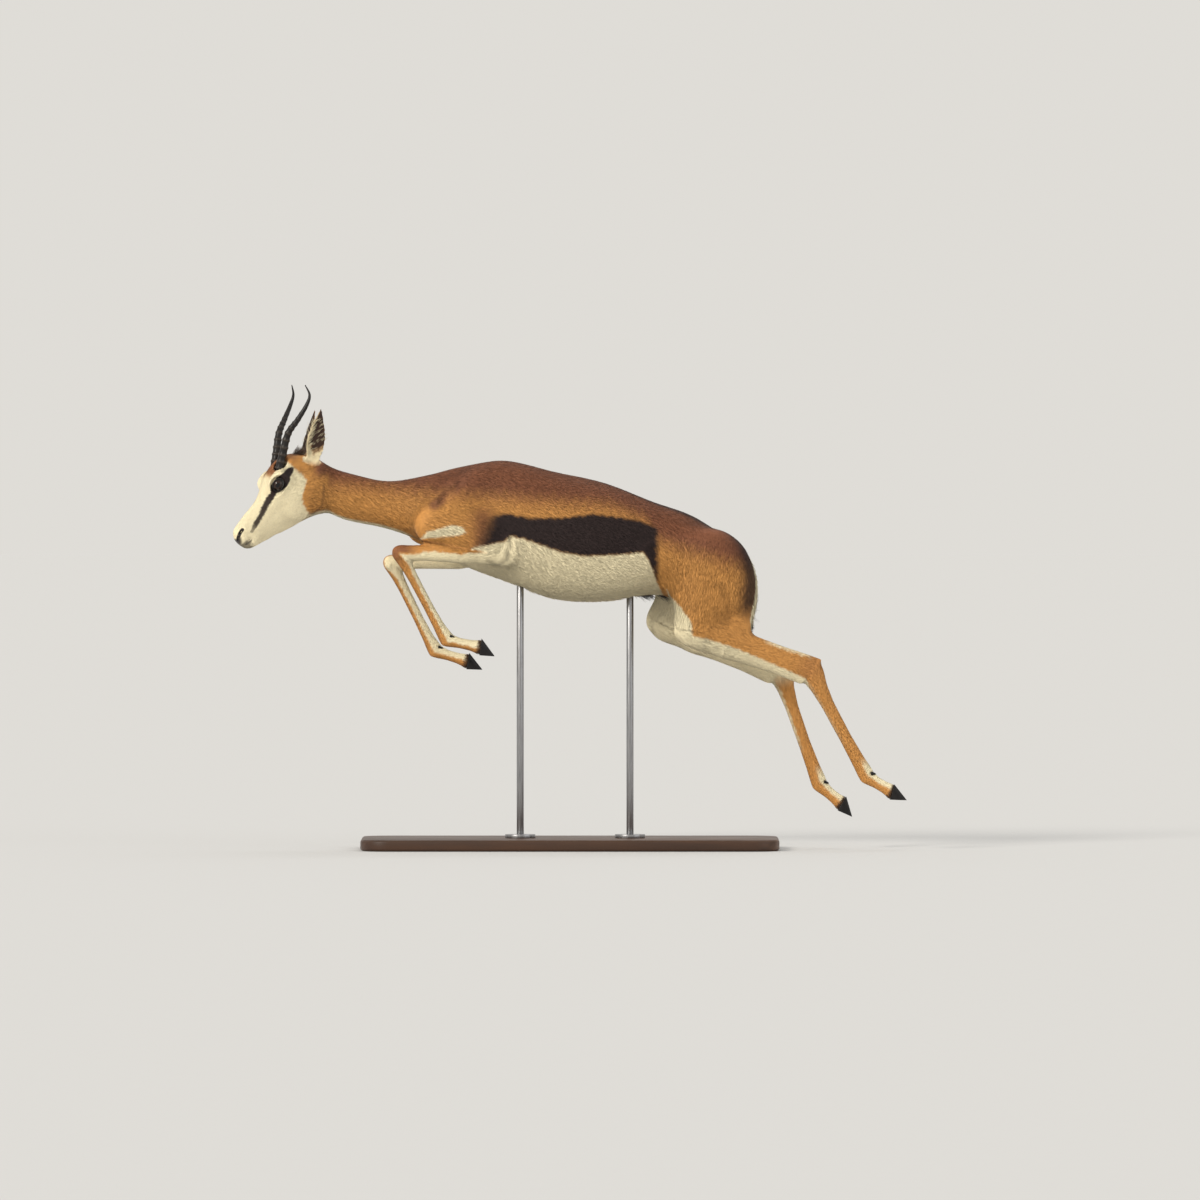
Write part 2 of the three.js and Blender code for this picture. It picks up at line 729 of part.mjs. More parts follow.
const tailPath = new THREE.CatmullRomCurve3(
  [
    [372, 598],
    [396, 588],
    [411, 560],
    [414, 525],
    [408, 485],
    [401, 448],
  ].map(([x, z]) => vec(x, 0, z)),
);
const tailRadius = (t) => lerp(9.5, 4.5, Math.min(t * 1.3, 1));

function tubeAlong(path, rings, sides, radiusAt, grow = 0) {
  const frames = path.computeFrenetFrames(rings - 1, false);
  return loft(rings, (i) => {
    const t = i / (rings - 1);
    const pastEnd = i === 0 ? -grow : i === rings - 1 ? grow : 0;
    const centre = path.getPointAt(t).addScaledVector(frames.tangents[i], pastEnd);
    return Array.from({ length: sides }, (_, k) => {
      const angle = (k / sides) * 2 * Math.PI;
      return centre
        .clone()
        .addScaledVector(frames.normals[i], Math.cos(angle) * (radiusAt(t, angle) + grow))
        .addScaledVector(frames.binormals[i], Math.sin(angle) * (radiusAt(t, angle) + grow));
    });
  });
}

// A flat tapered lock that bends along three points.
function lockSolid(points, width, thickness, lieAcross) {
  const path = new THREE.CatmullRomCurve3(points);
  const rings = 4;
  return loft(rings, (i) => {
    const t = i / (rings - 1);
    const centre = path.getPoint(t);
    const along = path.getTangent(t);
    const across = lieAcross.clone().addScaledVector(along, -along.dot(lieAcross)).normalize();
    const out = along.clone().cross(across);
    const share = [0.7, 1, 0.72, 0.12][i];
    return [0, 1, 2, 3, 4].map((k) => {
      const angle = (k / 5) * 2 * Math.PI;
      return centre
        .clone()
        .addScaledVector(across, (Math.cos(angle) * width * share) / 2)
        .addScaledVector(out, (Math.sin(angle) * thickness * share) / 2);
    });
  });
}

const tuft = { locks: 6, from: 0.72, to: 0.98, length: 58, width: 9, thickness: 3.4 };

function tailSolid(grow) {
  let solid = tubeAlong(tailPath, 8, 8, tailRadius, grow);
  for (let i = 0; i < tuft.locks; i++) {
    const t = lerp(tuft.from, tuft.to, i / (tuft.locks - 1));
    const root = tailPath.getPointAt(t);
    const down = tailPath.getTangentAt(t);
    const round = i * radians(137.5);
    const lean = vec(Math.cos(round) * 0.6, Math.sin(round), 0);
    const reach = (share, spread) =>
      root.clone().addScaledVector(down, tuft.length * share).addScaledVector(lean, spread);
    const bend = [reach(0, 1), reach(0.45, 5.5), reach(1, 3.5)];
    const [width, thickness] = [tuft.width + 2 * grow, tuft.thickness + 2 * grow];
    solid = solid.add(lockSolid(bend, width, thickness, vec(-lean.y, lean.x, 0)));
  }
  return solid;
}

add("tail", tailSolid(0), fur.tail);
body = body.subtract(tailSolid(0.6));

// Stand: a flat base with two steel rods that end inside the belly, each in a foot ring

const base = { length: 940, width: 380, thick: 25, corner: 60, bevel: 4 };
const rod = { radius: 8, sunk: 22, places: { front: -112, rear: 135 } };
const footRing = { outer: 34, thick: 8 };
const baseTop = base.thick - lowestHoofAboveFloor;

function basePlate() {
  const [halfLength, halfWidth] = [base.length / 2 - base.bevel, base.width / 2 - base.bevel];
  const shape = new THREE.Shape();
  const quarters = [[1, 1, 0], [-1, 1, 90], [-1, -1, 180], [1, -1, 270]];
  quarters.forEach(([sx, sy, from]) => {
    const [cx, cy] = [sx * (halfLength - base.corner), sy * (halfWidth - base.corner)];
    shape.absarc(cx, cy, base.corner, radians(from), radians(from + 90), false);
  });
  const geometry = new THREE.ExtrudeGeometry(shape, {
    depth: base.thick - 2 * base.bevel,
    bevelThickness: base.bevel,
    bevelSize: base.bevel,
    bevelSegments: 1,
    curveSegments: 4,
  });
  geometry.translate(0, 0, base.bevel - lowestHoofAboveFloor);
  return solidOf(geometry);
}

function upright(radius, bottom, top, x) {
  const geometry = new THREE.CylinderGeometry(radius, radius, top - bottom, 16);
  geometry.rotateX(Math.PI / 2);
  geometry.translate(x, 0, (top + bottom) / 2);
  return solidOf(geometry);
}

add("stand_base", basePlate(), wood);
for (const [place, x] of Object.entries(rod.places)) {
  const bottom = baseTop + partingGap;
  const top = stationValue(trunkLine, x, "bottom") + rod.sunk;
  add(`stand_rod_${place}`, upright(rod.radius, bottom, top, x), steel);
  body = body.subtract(upright(rod.radius + partingGap, bottom, top + partingGap, x));
  const ring = upright(footRing.outer, bottom, bottom + footRing.thick, x);
  const hole = upright(rod.radius + partingGap, bottom - 1, bottom + footRing.thick + 1, x);
  add(`stand_ring_${place}`, ring.subtract(hole), steel);
}

// Eyes, lids, nostrils and mouth

const eye = {
  radius: 15.5,
  opening: [13.6, 11.6],
  rim: 3.1,
  rimOut: 7.5,
  at: [147, 35, 26],
  forward: 22,
  up: 8,
};

// A frame on each side of the head with z out of the eye and x along its slit.
function eyeFrame(side) {
  const out = vec(-Math.sin(radians(eye.forward)), side, Math.sin(radians(eye.up))).normalize();
  const along = vec(1, 0, 0).addScaledVector(out, -out.x).normalize();
  const frame = new THREE.Matrix4().makeBasis(along, out.clone().cross(along), out);
  frame.setPosition(eye.at[0], side * eye.at[1], eye.at[2]);
  return headFrame.clone().multiply(frame);
}

const placed = (geometry, frame) => solidOf(geometry.applyMatrix4(frame));

for (const [name, side] of [["left", -1], ["right", 1]]) {
  const frame = eyeFrame(side);
  const [wide, high] = eye.opening;
  const window = new THREE.CylinderGeometry(1.5, 1, 24, 20);
  window.rotateX(Math.PI / 2).translate(0, 0, eye.rimOut + 10).scale(wide, high, 1);
  skull = skull.subtract(placed(window, frame));
  const lid = new THREE.TorusGeometry(1 + (eye.rim * 0.5) / wide, eye.rim / wide, 5, 16);
  lid.scale(wide, high, wide).translate(0, 0, eye.rimOut);
  skull = skull.add(placed(lid, frame));
  skull = skull.subtract(placed(new THREE.SphereGeometry(eye.radius + partingGap, 14, 8), frame));
  add(`eye_${name}`, placed(new THREE.SphereGeometry(eye.radius, 14, 8), frame), eyeball);

  const nostril = new THREE.SphereGeometry(1, 8, 6).scale(9, 5, 3.6);
  nostril.rotateZ(radians(-side * 24)).rotateY(radians(-34)).translate(5, side * 14, 1);
  skull = skull.subtract(placed(nostril, headFrame));
}

// The mouth is a thin curved slit round the front of the muzzle, up to its corners.
const mouth = { gap: 1.8, line: [[-12, -24], [0, -26], [18, -27.5], [38, -22]] };
const mouthLine = new THREE.SplineCurve(mouth.line.map((p) => new THREE.Vector2(...p)));
const lipPoints = mouthLine.getPoints(8);
const slit = new THREE.Shape([
  ...lipPoints.map((p) => p.clone().setY(p.y + mouth.gap / 2)),
  ...lipPoints.reverse().map((p) => p.clone().setY(p.y - mouth.gap / 2)),
]);
const slitPrism = new THREE.ExtrudeGeometry(slit, { depth: 80, bevelEnabled: false });
slitPrism.rotateX(Math.PI / 2).translate(0, 40, 0);
const gum = new THREE.Shape();
gum.moveTo(60, -14);
gum.quadraticCurveTo(14, -14, 14, -9);
gum.quadraticCurveTo(8, 0, 14, 9);
gum.quadraticCurveTo(14, 14, 60, 14);
gum.lineTo(60, -14);
const gumPrism = new THREE.ExtrudeGeometry(gum, { depth: 60, bevelEnabled: false, curveSegments: 4 });
gumPrism.translate(0, 0, -55);
const mouthCut = solidOf(slitPrism).subtract(solidOf(gumPrism));
skull = skull.subtract(mouthCut.transform(headFrame.toArray()));

// Horns: ringed, rising back and apart, with their tips hooked forward and in

const hornPath = [
  [-96, 15, 30],
  [-88, 20, 72],
  [-78, 29, 120],
  [-60, 42, 151],
  [-42, 51, 184],
  [-35, 51, 207],
  [-42, 42, 229],
];
const hornShape = {
  base: 12.4,
  tip: 1.6,
  rings: 11,
  ridge: 1,
  steps: 29,
  sides: 10,
  ringedFrom: 0.2,
  ringedTo: 0.66,
};

function hornRadius(t) {
  const smooth = lerp(hornShape.base, hornShape.tip, Math.pow(t, 1.12));
  const phase = (t / hornShape.ringedTo) * hornShape.rings;
  const ringed = t > hornShape.ringedFrom && t < hornShape.ringedTo;
  return smooth + (ringed ? hornShape.ridge * Math.cos(phase * 2 * Math.PI) : 0);
}

// Ears: a leaf-shaped cup of even thickness on a solid root. The one that cuts the seat is filled

const earShape = {
  left: { root: [-26, -30, 20], tip: [-12, -64, 176], opens: [-0.35, -0.94, 0.05] },
  right: { root: [-34, 30, 19], tip: [20, 60, 172], opens: [-0.96, -0.22, 0.1] },
};
const earWidths = [15, 20, 33, 43, 43, 34, 18, 2.5];
const earDepths = [15, 18, 17, 15, 12, 8, 4.5, 1.5];
const earWall = 3.6;
const earBend = 3;

function earSolid({ root, tip, opens }, grow) {
  const [from, to] = [vec(...root), vec(...tip)];
  const along = to.clone().sub(from).normalize();
  const face = vec(...opens).addScaledVector(along, -along.dot(vec(...opens))).normalize();
  const across = along.clone().cross(face);
  const arc = [0, 1, 2, 3, 4, 5, 6].map((k) => Math.PI * (k / 6));
  const made = loft(earWidths.length, (i) => {
    const t = i / (earWidths.length - 1);
    const lean = Math.sin(t * Math.PI) * earBend;
    const pastEnd = i === 0 ? -grow : i === earWidths.length - 1 ? grow : 0;
    const centre = from.clone().lerp(to, t);
    centre.addScaledVector(face, -lean).addScaledVector(along, pastEnd);
    const half = earWidths[i] / 2 + grow;
    const back = earDepths[i] / 2 + grow;
    const hollow = t > 0.2 && grow === 0;
    const front = hollow ? Math.min(earWall, earDepths[i] * 0.8) - back : back;
    const at = (angle, depth) =>
      centre
        .clone()
        .addScaledVector(across, Math.cos(angle) * half)
        .addScaledVector(face, Math.sin(angle) * depth);
    const outside = arc.map((angle) => at(angle, -back));
    const inside = arc.slice(1, -1).reverse().map((angle) => at(angle, front));
    return [...outside, ...inside];
  });
  return made.transform(crownFrame.toArray());
}

for (const [name, side] of [["left", -1], ["right", 1]]) {
  const path = new THREE.CatmullRomCurve3(
    hornPath.map(([x, y, z]) => vec(x, side * y, z).applyMatrix4(crownFrame)),
  );
  const { steps, sides, base: hornBase } = hornShape;
  add(`horn_${name}`, tubeAlong(path, steps, sides, hornRadius), horn);
  const socket = new THREE.CatmullRomCurve3(path.getPoints(40).slice(0, 10));
  skull = skull.subtract(tubeAlong(socket, 3, sides + 4, () => hornBase, 0.9));
  add(`ear_${name}`, earSolid(earShape[name], 0), fur.ear);
  skull = skull.subtract(earSolid(earShape[name], 0.5));
}

add("head", skull, fur.head);
add("neck", keepSide(keepSide(body, napePlane, 1), neckPlane, -1), fur.neck);
add("torso", keepSide(body, neckPlane, 1), fur.torso);

springbok.position.z = lowestHoofAboveFloor;

export default springbok;
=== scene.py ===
import math

import bpy
import numpy as np
from mathutils import Matrix, Vector
from mathutils.bvhtree import BVHTree


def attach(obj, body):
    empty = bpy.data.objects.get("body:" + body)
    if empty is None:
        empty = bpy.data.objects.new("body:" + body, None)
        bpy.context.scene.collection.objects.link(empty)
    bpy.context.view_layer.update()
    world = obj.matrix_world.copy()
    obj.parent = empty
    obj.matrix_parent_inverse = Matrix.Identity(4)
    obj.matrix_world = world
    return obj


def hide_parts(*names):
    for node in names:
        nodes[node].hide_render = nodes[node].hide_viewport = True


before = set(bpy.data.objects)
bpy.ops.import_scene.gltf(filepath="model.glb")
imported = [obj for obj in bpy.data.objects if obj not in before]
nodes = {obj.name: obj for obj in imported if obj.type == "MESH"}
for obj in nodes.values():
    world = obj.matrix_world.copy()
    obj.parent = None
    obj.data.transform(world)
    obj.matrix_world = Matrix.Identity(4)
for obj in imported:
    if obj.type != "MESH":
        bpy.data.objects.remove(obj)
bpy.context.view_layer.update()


def clearSelection():
    if bpy.context.object and bpy.context.object.mode != "OBJECT":
        bpy.ops.object.mode_set(mode="OBJECT")
    bpy.ops.object.select_all(action="DESELECT")


def pick(obj):
    clearSelection()
    obj.select_set(True)
    bpy.context.view_layer.objects.active = obj
    return obj


def editAll(obj):
    pick(obj)
    bpy.ops.object.mode_set(mode="EDIT")
    bpy.ops.mesh.select_all(action="SELECT")


def leaveEdit():
    bpy.ops.object.mode_set(mode="OBJECT")


def applyModifier(obj, kind, **settings):
    pick(obj)
    modifier = obj.modifiers.new(kind.title(), kind)
    for key, value in settings.items():
        setattr(modifier, key, value)
    bpy.ops.object.modifier_apply(modifier=modifier.name)


def copyNode(name, newName):
    copy = nodes[name].copy()
    copy.data = nodes[name].data.copy()
    copy.parent = None
    for key in list(copy.keys()):
        del copy[key]
    copy.name = copy.data.name = newName
    bpy.context.scene.collection.objects.link(copy)
    editAll(copy)
    bpy.ops.mesh.remove_doubles(threshold=0.00002)
    leaveEdit()
    return copy


def joinAll(pieces, name):
    clearSelection()
    for piece in pieces:
        piece.select_set(True)
    bpy.context.view_layer.objects.active = pieces[0]
    bpy.ops.object.join()
    joined = bpy.context.view_layer.objects.active
    joined.name = joined.data.name = name
    return joined


def readAll(items, key, wide, kind=float):
    values = np.empty(len(items) * wide, kind)
    items.foreach_get(key, values)
    return values.reshape(-1, wide)


def pointsOf(obj):
    return readAll(obj.data.vertices, "co", 3)


def normalsOf(obj):
    return readAll(obj.data.vertices, "normal", 3)


def edgesOf(obj):
    return readAll(obj.data.edges, "vertices", 2, np.int64)


def setPoints(obj, points):
    obj.data.vertices.foreach_set("co", points.ravel())
    obj.data.update()


def writeValues(obj, name, kind, values):
    layer = obj.data.attributes.new(name, kind, "POINT")
    key = {"FLOAT": "value", "FLOAT_VECTOR": "vector", "FLOAT_COLOR": "color"}[kind]
    layer.data.foreach_set(key, np.asarray(values, np.float32).ravel())


def relax(points, edges, share, rounds):  # each point moves by its share towards its neighbours
    ends = np.concatenate([edges[:, 0], edges[:, 1]])
    others = np.concatenate([edges[:, 1], edges[:, 0]])
    count = np.maximum(np.bincount(ends, minlength=len(points)), 1)[:, None]
    for _ in range(rounds):
        sums = np.stack([np.bincount(ends, points[others, axis], len(points)) for axis in range(3)], 1)
        points = points + share[:, None] * (sums / count - points)
    return points


def ramp(low, high, value):
    t = np.clip((value - low) / (high - low), 0, 1)
    return t * t * (3 - 2 * t)


def ripple(points, size, seed=0.0):  # soft waves from -1 to 1, about size metres apart
    x, y, z = points.T * (2 * math.pi / size)
    a = np.sin(0.91 * x + 1.7 * np.sin(0.43 * z + seed) + 0.6 * y)
    b = np.sin(0.77 * z + 1.9 * np.sin(0.51 * x + 2.1 + seed) - 0.5 * y)
    c = np.sin(0.63 * y + 0.58 * x - 0.72 * z + 3.7 + seed)
    return (a + b + c) / 3


def unit(vectors):
    return vectors / np.maximum(np.linalg.norm(vectors, axis=-1, keepdims=True), 1e-12)


def within(points, low, high):
    return ((points > low) & (points < high)).all(1)


def nearest(points, line):  # distance to a line of points, segments passed, and the place on it
    best = np.full(len(points), 1e9)
    along = np.zeros(len(points))
    spots = np.zeros_like(points)
    for i in range(len(line) - 1):
        start, step = line[i], line[i + 1] - line[i]
        t = np.clip(((points - start) @ step) / (step @ step), 0, 1)
        spot = start + t[:, None] * step
        distance = np.linalg.norm(points - spot, axis=1)
        closer = distance < best
        best[closer], along[closer], spots[closer] = distance[closer], (i + t)[closer], spot[closer]
    return best, along, spots


def fromSide(points, rows):  # the same, with both seen from the side; rows hold x and z
    return nearest(points * (1, 0, 1), np.array([(x, 0, z) for x, z in rows]))


def smoothLine(points, count):
    points = np.array(points, float)
    padded = np.vstack([2 * points[0] - points[1], points, 2 * points[-1] - points[-2]])
    line = []
    for s in np.linspace(0, len(points) - 1, count):
        i = min(int(s), len(points) - 2)
        t = s - i
        a, b, c, d = padded[i:i + 4]
        bend, twist = 2 * a - 5 * b + 4 * c - d, 3 * b - a - 3 * c + d
        line.append(0.5 * (2 * b + (c - a) * t + bend * t * t + twist * t ** 3))
    return np.array(line)


def faceOutward():  # ends the edit of a closed piece
    bpy.ops.mesh.normals_make_consistent(inside=False)
    leaveEdit()
    bpy.ops.object.shade_smooth()


def curveTube(name, line, radii, roundness):  # a curve with a radius at each point, turned into a mesh
    clearSelection()
    bpy.ops.curve.primitive_nurbs_path_add()
    curve = bpy.context.object
    curve.data.splines.clear()
    spline = curve.data.splines.new("POLY")
    spline.points.add(len(line) - 1)
    spline.points.foreach_set("co", np.insert(line, 3, 1, axis=1).ravel())
    spline.points.foreach_set("radius", radii)
    curve.data.bevel_depth = 1.0
    curve.data.bevel_resolution = roundness
    curve.data.use_fill_caps = True
    bpy.ops.object.convert(target="MESH")
    piece = bpy.context.object
    piece.name = piece.data.name = name
    editAll(piece)
    bpy.ops.mesh.remove_doubles(threshold=0.00001)
    faceOutward()
    return piece


def finishPiece(obj, material, slot, replaced=()):
    obj.data.materials.clear()
    obj.data.materials.append(material)
    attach(obj, "root")
    if replaced:
        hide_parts(*replaced)


# a long lens far off and almost level, as in the photo
cameraRig = {"distance": 35.0, "width": 2.7, "aim": (0.0675, 0.0, 0.5605), "lift": 0.8, "sensor": 36.0}


def placeCamera():
    rise = math.radians(cameraRig["lift"])
    back = Vector((0, -math.cos(rise), math.sin(rise))) * cameraRig["distance"]
    bpy.ops.object.camera_add(location=Vector(cameraRig["aim"]) + back,
                              rotation=(math.radians(90) - rise, 0, 0))
    camera = bpy.context.object
    camera.name = "photoCamera"
    camera.data.sensor_width = cameraRig["sensor"]
    camera.data.lens = cameraRig["sensor"] * cameraRig["distance"] / cameraRig["width"]
    camera.data.clip_start, camera.data.clip_end = 1, 200
    bpy.context.scene.camera = camera


placeCamera()
print("camera set")


trunkStations = {  # place along the body: height of the back, height of the belly
    -0.575: (0.873, 0.760), -0.495: (0.851, 0.733), -0.414: (0.833, 0.717), -0.338: (0.842, 0.690),
    -0.248: (0.864, 0.637), -0.146: (0.878, 0.599), -0.034: (0.852, 0.560), 0.079: (0.827, 0.555),
    0.191: (0.783, 0.570), 0.270: (0.756, 0.556), 0.330: (0.719, 0.532), 0.380: (0.676, 0.522)}
trunkX = np.array(sorted(trunkStations))
trunkTop = np.array([trunkStations[x][0] for x in trunkX])
trunkLow = np.array([trunkStations[x][1] for x in trunkX])
trunkMiddle = np.stack([trunkX, 0 * trunkX, (trunkTop + trunkLow) / 2], 1)
trunkReach = (trunkTop - trunkLow) / 2 * 0.85

legPoses = {
    "foreleg_left": {"root": (-0.313, 0.732), "angles": (-23, 180.6, -62.1, -11.6), "side": -1},
    "foreleg_right": {"root": (-0.333, 0.727), "angles": (-25, 184.1, -63.7, -16.9), "side": 1},
    "hindleg_left": {"root": (0.320, 0.650), "angles": (-102.4, -20.1, -61.9, -30), "side": -1},
    "hindleg_right": {"root": (0.304, 0.646), "angles": (-119.3, -23.9, -70.8, -39.6), "side": 1}}
legSizes = {
    "foreleg": {"bones": (0.161, 0.217, 0.222, 0.078), "track": (0.080, 0.086, 0.062, 0.054, 0.052),
                "reach": (0.062, 0.034, 0.017, 0.014, 0.014)},
    "hindleg": {"bones": (0.163, 0.273, 0.264, 0.067), "track": (0.060, 0.080, 0.062, 0.057, 0.055),
                "reach": (0.085, 0.060, 0.019, 0.014, 0.014)}}


def kindOf(leg):
    return leg.split("_")[0]


def legLine(leg):  # its five joints, and the way the front of each bone faces
    pose, size = legPoses[leg], legSizes[kindOf(leg)]
    x, z = pose["root"]
    joints, fronts = [(x, pose["side"] * size["track"][0], z)], []
    for length, angle, track in zip(size["bones"], pose["angles"], size["track"][1:]):
        a = math.radians(angle)
        x, z = x + length * math.cos(a), z + length * math.sin(a)
        joints.append((x, pose["side"] * track, z))
        fronts.append((math.sin(a), 0, -math.cos(a)))
    return np.array(joints), np.array(fronts)


nape, noseTip = np.array((-0.5715, 0, 0.815)), np.array((-0.7657, 0, 0.7023))
crownFrame = Matrix.Translation(nape) @ Matrix.Rotation(math.radians(22), 4, "Z")
headFrame = crownFrame @ Matrix.Translation(noseTip - nape) @ Matrix.Rotation(math.radians(-43), 4, "Y")


def into(matrix, points):
    m = np.array(matrix.inverted())
    return points @ m[:3, :3].T + m[:3, 3]


def outOf(matrix, points):
    m = np.array(matrix)
    return np.array(points, float) @ m[:3, :3].T + m[:3, 3]


ears = {  # inner: which way across the ear its pale inner edge lies
    "left": {"root": (-0.026, -0.030, 0.020), "tip": (-0.012, -0.064, 0.176), "opens": (-0.35, -0.94, 0.05),
             "inner": -1},
    "right": {"root": (-0.034, 0.030, 0.019), "tip": (0.020, 0.060, 0.172), "opens": (-0.96, -0.22, 0.1),
              "inner": 1}}
tailLine = smoothLine([(0.372, 0, 0.668), (0.396, 0, 0.658), (0.411, 0, 0.630), (0.414, 0, 0.595),
                       (0.408, 0, 0.555), (0.401, 0, 0.518)], 30)

skinSizes = {"swell": 0.00045, "voxel": 0.0022, "rounds": 110, "triangles": 197000, "tail": (0.0075, 0.0036)}


def gatherSkin():
    flesh = ["head", "neck", "torso", "ear_left", "ear_right"]
    for leg in legPoses:
        upper = ("shoulder", "forearm") if kindOf(leg) == "foreleg" else ("thigh", "gaskin")
        flesh += [f"{leg}_{part}" for part in upper + ("cannon", "pastern")]
    tail = curveTube("tailCore", tailLine, np.linspace(*skinSizes["tail"], len(tailLine)), 3)
    gathered = joinAll([copyNode(name, name + "_copy") for name in flesh] + [tail], "skin")
    setPoints(gathered, pointsOf(gathered) + skinSizes["swell"] * normalsOf(gathered))
    gathered.data.materials.clear()
    applyModifier(gathered, "REMESH", mode="VOXEL", voxel_size=skinSizes["voxel"], use_smooth_shade=True)
    return gathered, flesh + ["tail"]


def zonesOf(points):  # for each part: how close each point is, how far along it, and its nearest place
    zones = {}

    def addZone(name, line, reach, seen=points, extra=lambda along: 0.0):
        distance, along, spot = nearest(seen, np.array(line))
        zones[name] = {"along": along, "spot": spot}
        zones[name]["ratio"] = distance / np.interp(along, range(len(reach)), reach) + extra(along)

    addZone("trunk", trunkMiddle, trunkReach)
    addZone("head", [(0.006, 0, -0.008), (0.10, 0, 0.0), (0.20, 0, 0.0)], (0.024, 0.040, 0.048),
            into(headFrame, points))
    for leg in legPoses:
        addZone(leg, legLine(leg)[0], legSizes[kindOf(leg)]["reach"])
    inCrown = into(crownFrame, points)
    for side, ear in ears.items():
        addZone("ear_" + side, [ear["root"], ear["tip"]], (0.023, 0.023), inCrown,
                lambda along: 2.2 * ramp(0.24, 0.10, along))
    addZone("tail", tailLine, np.full(len(tailLine), 0.008), extra=lambda along: 1.5 * ramp(3, 0, along))
    return zones


def blended(zones, valueOf, power=6):  # a value of each part, mixed by how close the parts are
    weights = {name: 1 / np.maximum(zone["ratio"], 0.2) ** power for name, zone in zones.items()}
    total = sum(weights.values())
    return sum((weights[name] * valueOf(name, zones[name]["along"]).T / total).T for name in zones)


def ownersOf(zones):
    names = np.array(list(zones))
    return names[np.stack([zones[name]["ratio"] for name in names], 1).argmin(1)]


def softness(name, along):  # how much the faceted solids are smoothed
    if kindOf(name) == "foreleg":
        return np.interp(along, (0, 0.8, 1.2, 2, 2.7, 3.2, 4), (0.8, 0.35, 0.12, 0.07, 0.07, 0.12, 0.06))
    if kindOf(name) == "hindleg":
        return np.interp(along, (0, 0.8, 1.3, 2, 2.7, 3.2, 4), (0.9, 0.5, 0.14, 0.07, 0.07, 0.12, 0.06))
    if name.startswith("ear"):
        return np.interp(along, (0.16, 0.34), (0.45, 0.02))
    return np.full(len(along), {"trunk": 1.0, "head": 0.10}.get(name, 0.06))


def coatDepth(name, along):  # how far below the solids the skin lies
    if kindOf(name) in legSizes:
        return np.interp(along, (0, 1, 2, 4), (0.0030, 0.0022, 0.0012, 0.0008))
    return np.full(len(along), {"trunk": 0.0030, "head": 0.0010}.get(name, 0.0))


skin, fleshNodes = gatherSkin()
print("skin gathered:", len(skin.data.vertices), "points")
points = pointsOf(skin)
zones = zonesOf(points)
points = relax(points, edgesOf(skin), 0.6 * blended(zones, softness), skinSizes["rounds"])
setPoints(skin, points)
setPoints(skin, points - blended(zones, coatDepth)[:, None] * normalsOf(skin))
print("skin smoothed")


eyeSizes = {"centre": (0.147, 0.035, 0.026), "radius": 0.0148, "opening": (0.0142, 0.0112),
            "forward": 22, "up": 8, "lid": 0.0014, "cornerDrop": 0.0022, "cornerReach": 0.10}
headBoxes = {  # the corners of the part to sculpt and of the part to split finer, in the head's frame
    "head": ((-0.03, -0.075, -0.085), (0.235, 0.075, 0.085)),
    "muzzle": ((-0.03, -0.04, -0.06), (0.036, 0.04, 0.06)), "round the eye": 0.026}
faceLines = {  # in the head's frame, the same on both sides
    "nostril": [(-0.005, 0.0065, -0.009), (-0.003, 0.0115, -0.004), (0.005, 0.0160, 0.001),
                (0.013, 0.0175, 0.0045), (0.020, 0.0175, 0.0055)],
    "mouth": [(-0.012, 0.004, -0.024), (0.0, 0.014, -0.026), (0.018, 0.019, -0.0275), (0.040, 0.024, -0.021)],
    "lipGroove": [(-0.010, 0.0, -0.004), (-0.012, 0.0, -0.022)],
    "tearGland": [(0.124, 0.030, 0.014), (0.112, 0.028, 0.006), (0.100, 0.027, 0.001)],
    "jaw": [(0.205, 0.036, -0.020), (0.214, 0.034, -0.052)]}
faceCreases = [  # line, width and depth; a rim has a depth below nought
    ("tearGland", 0.0022, 0.0022), ("mouth", 0.0013, 0.0034), ("lipGroove", 0.0011, 0.0018),
    ("jaw", 0.0050, 0.0022), ("nostril", 0.0046, -0.0014), ("nostril", 0.0020, 0.0070)]
faceBumps = [  # place, reach and height, in the head's frame
    ((0.148, 0.041, 0.045), (0.026, 0.010, 0.008), 0.0014),         # brow
    ((0.168, 0.036, -0.022), (0.030, 0.020, 0.022), 0.0022),        # cheek
    ((0.105, 0.026, -0.020), (0.026, 0.020, 0.013), -0.0020),
    ((0.110, 0.027, 0.008), (0.034, 0.020, 0.006), 0.0014),         # ridge below the eye
    ((0.070, 0.022, 0.020), (0.030, 0.015, 0.012), -0.0012),
    ((0.010, 0.016, -0.014), (0.016, 0.012, 0.008), 0.0014),        # upper lip
    ((0.014, 0.012, -0.036), (0.014, 0.014, 0.007), 0.0010)]        # chin
bodyFolds = [  # lines on the flank (x, z), width and depth
    ([(-0.304, 0.776), (-0.279, 0.806), (-0.238, 0.835)], 0.010, 0.0034),
    ([(-0.136, 0.712), (-0.134, 0.680), (-0.141, 0.652), (-0.160, 0.640), (-0.195, 0.650)],
     0.006, 0.0034),
    ([(0.176, 0.690), (0.196, 0.640), (0.216, 0.590)], 0.014, 0.0036),
    ([(0.330, 0.610), (0.352, 0.560), (0.362, 0.505)], 0.012, 0.0028)]
bodySwells = [  # place and reach on the flank (x, z), and height
    ((-0.275, 0.775), (0.050, 0.035), 0.0030), ((0.262, 0.700), (0.030, 0.022), 0.0032),
    ((0.150, 0.705), (0.050, 0.024), -0.0030), ((-0.110, 0.790), (0.050, 0.030), 0.0020)]


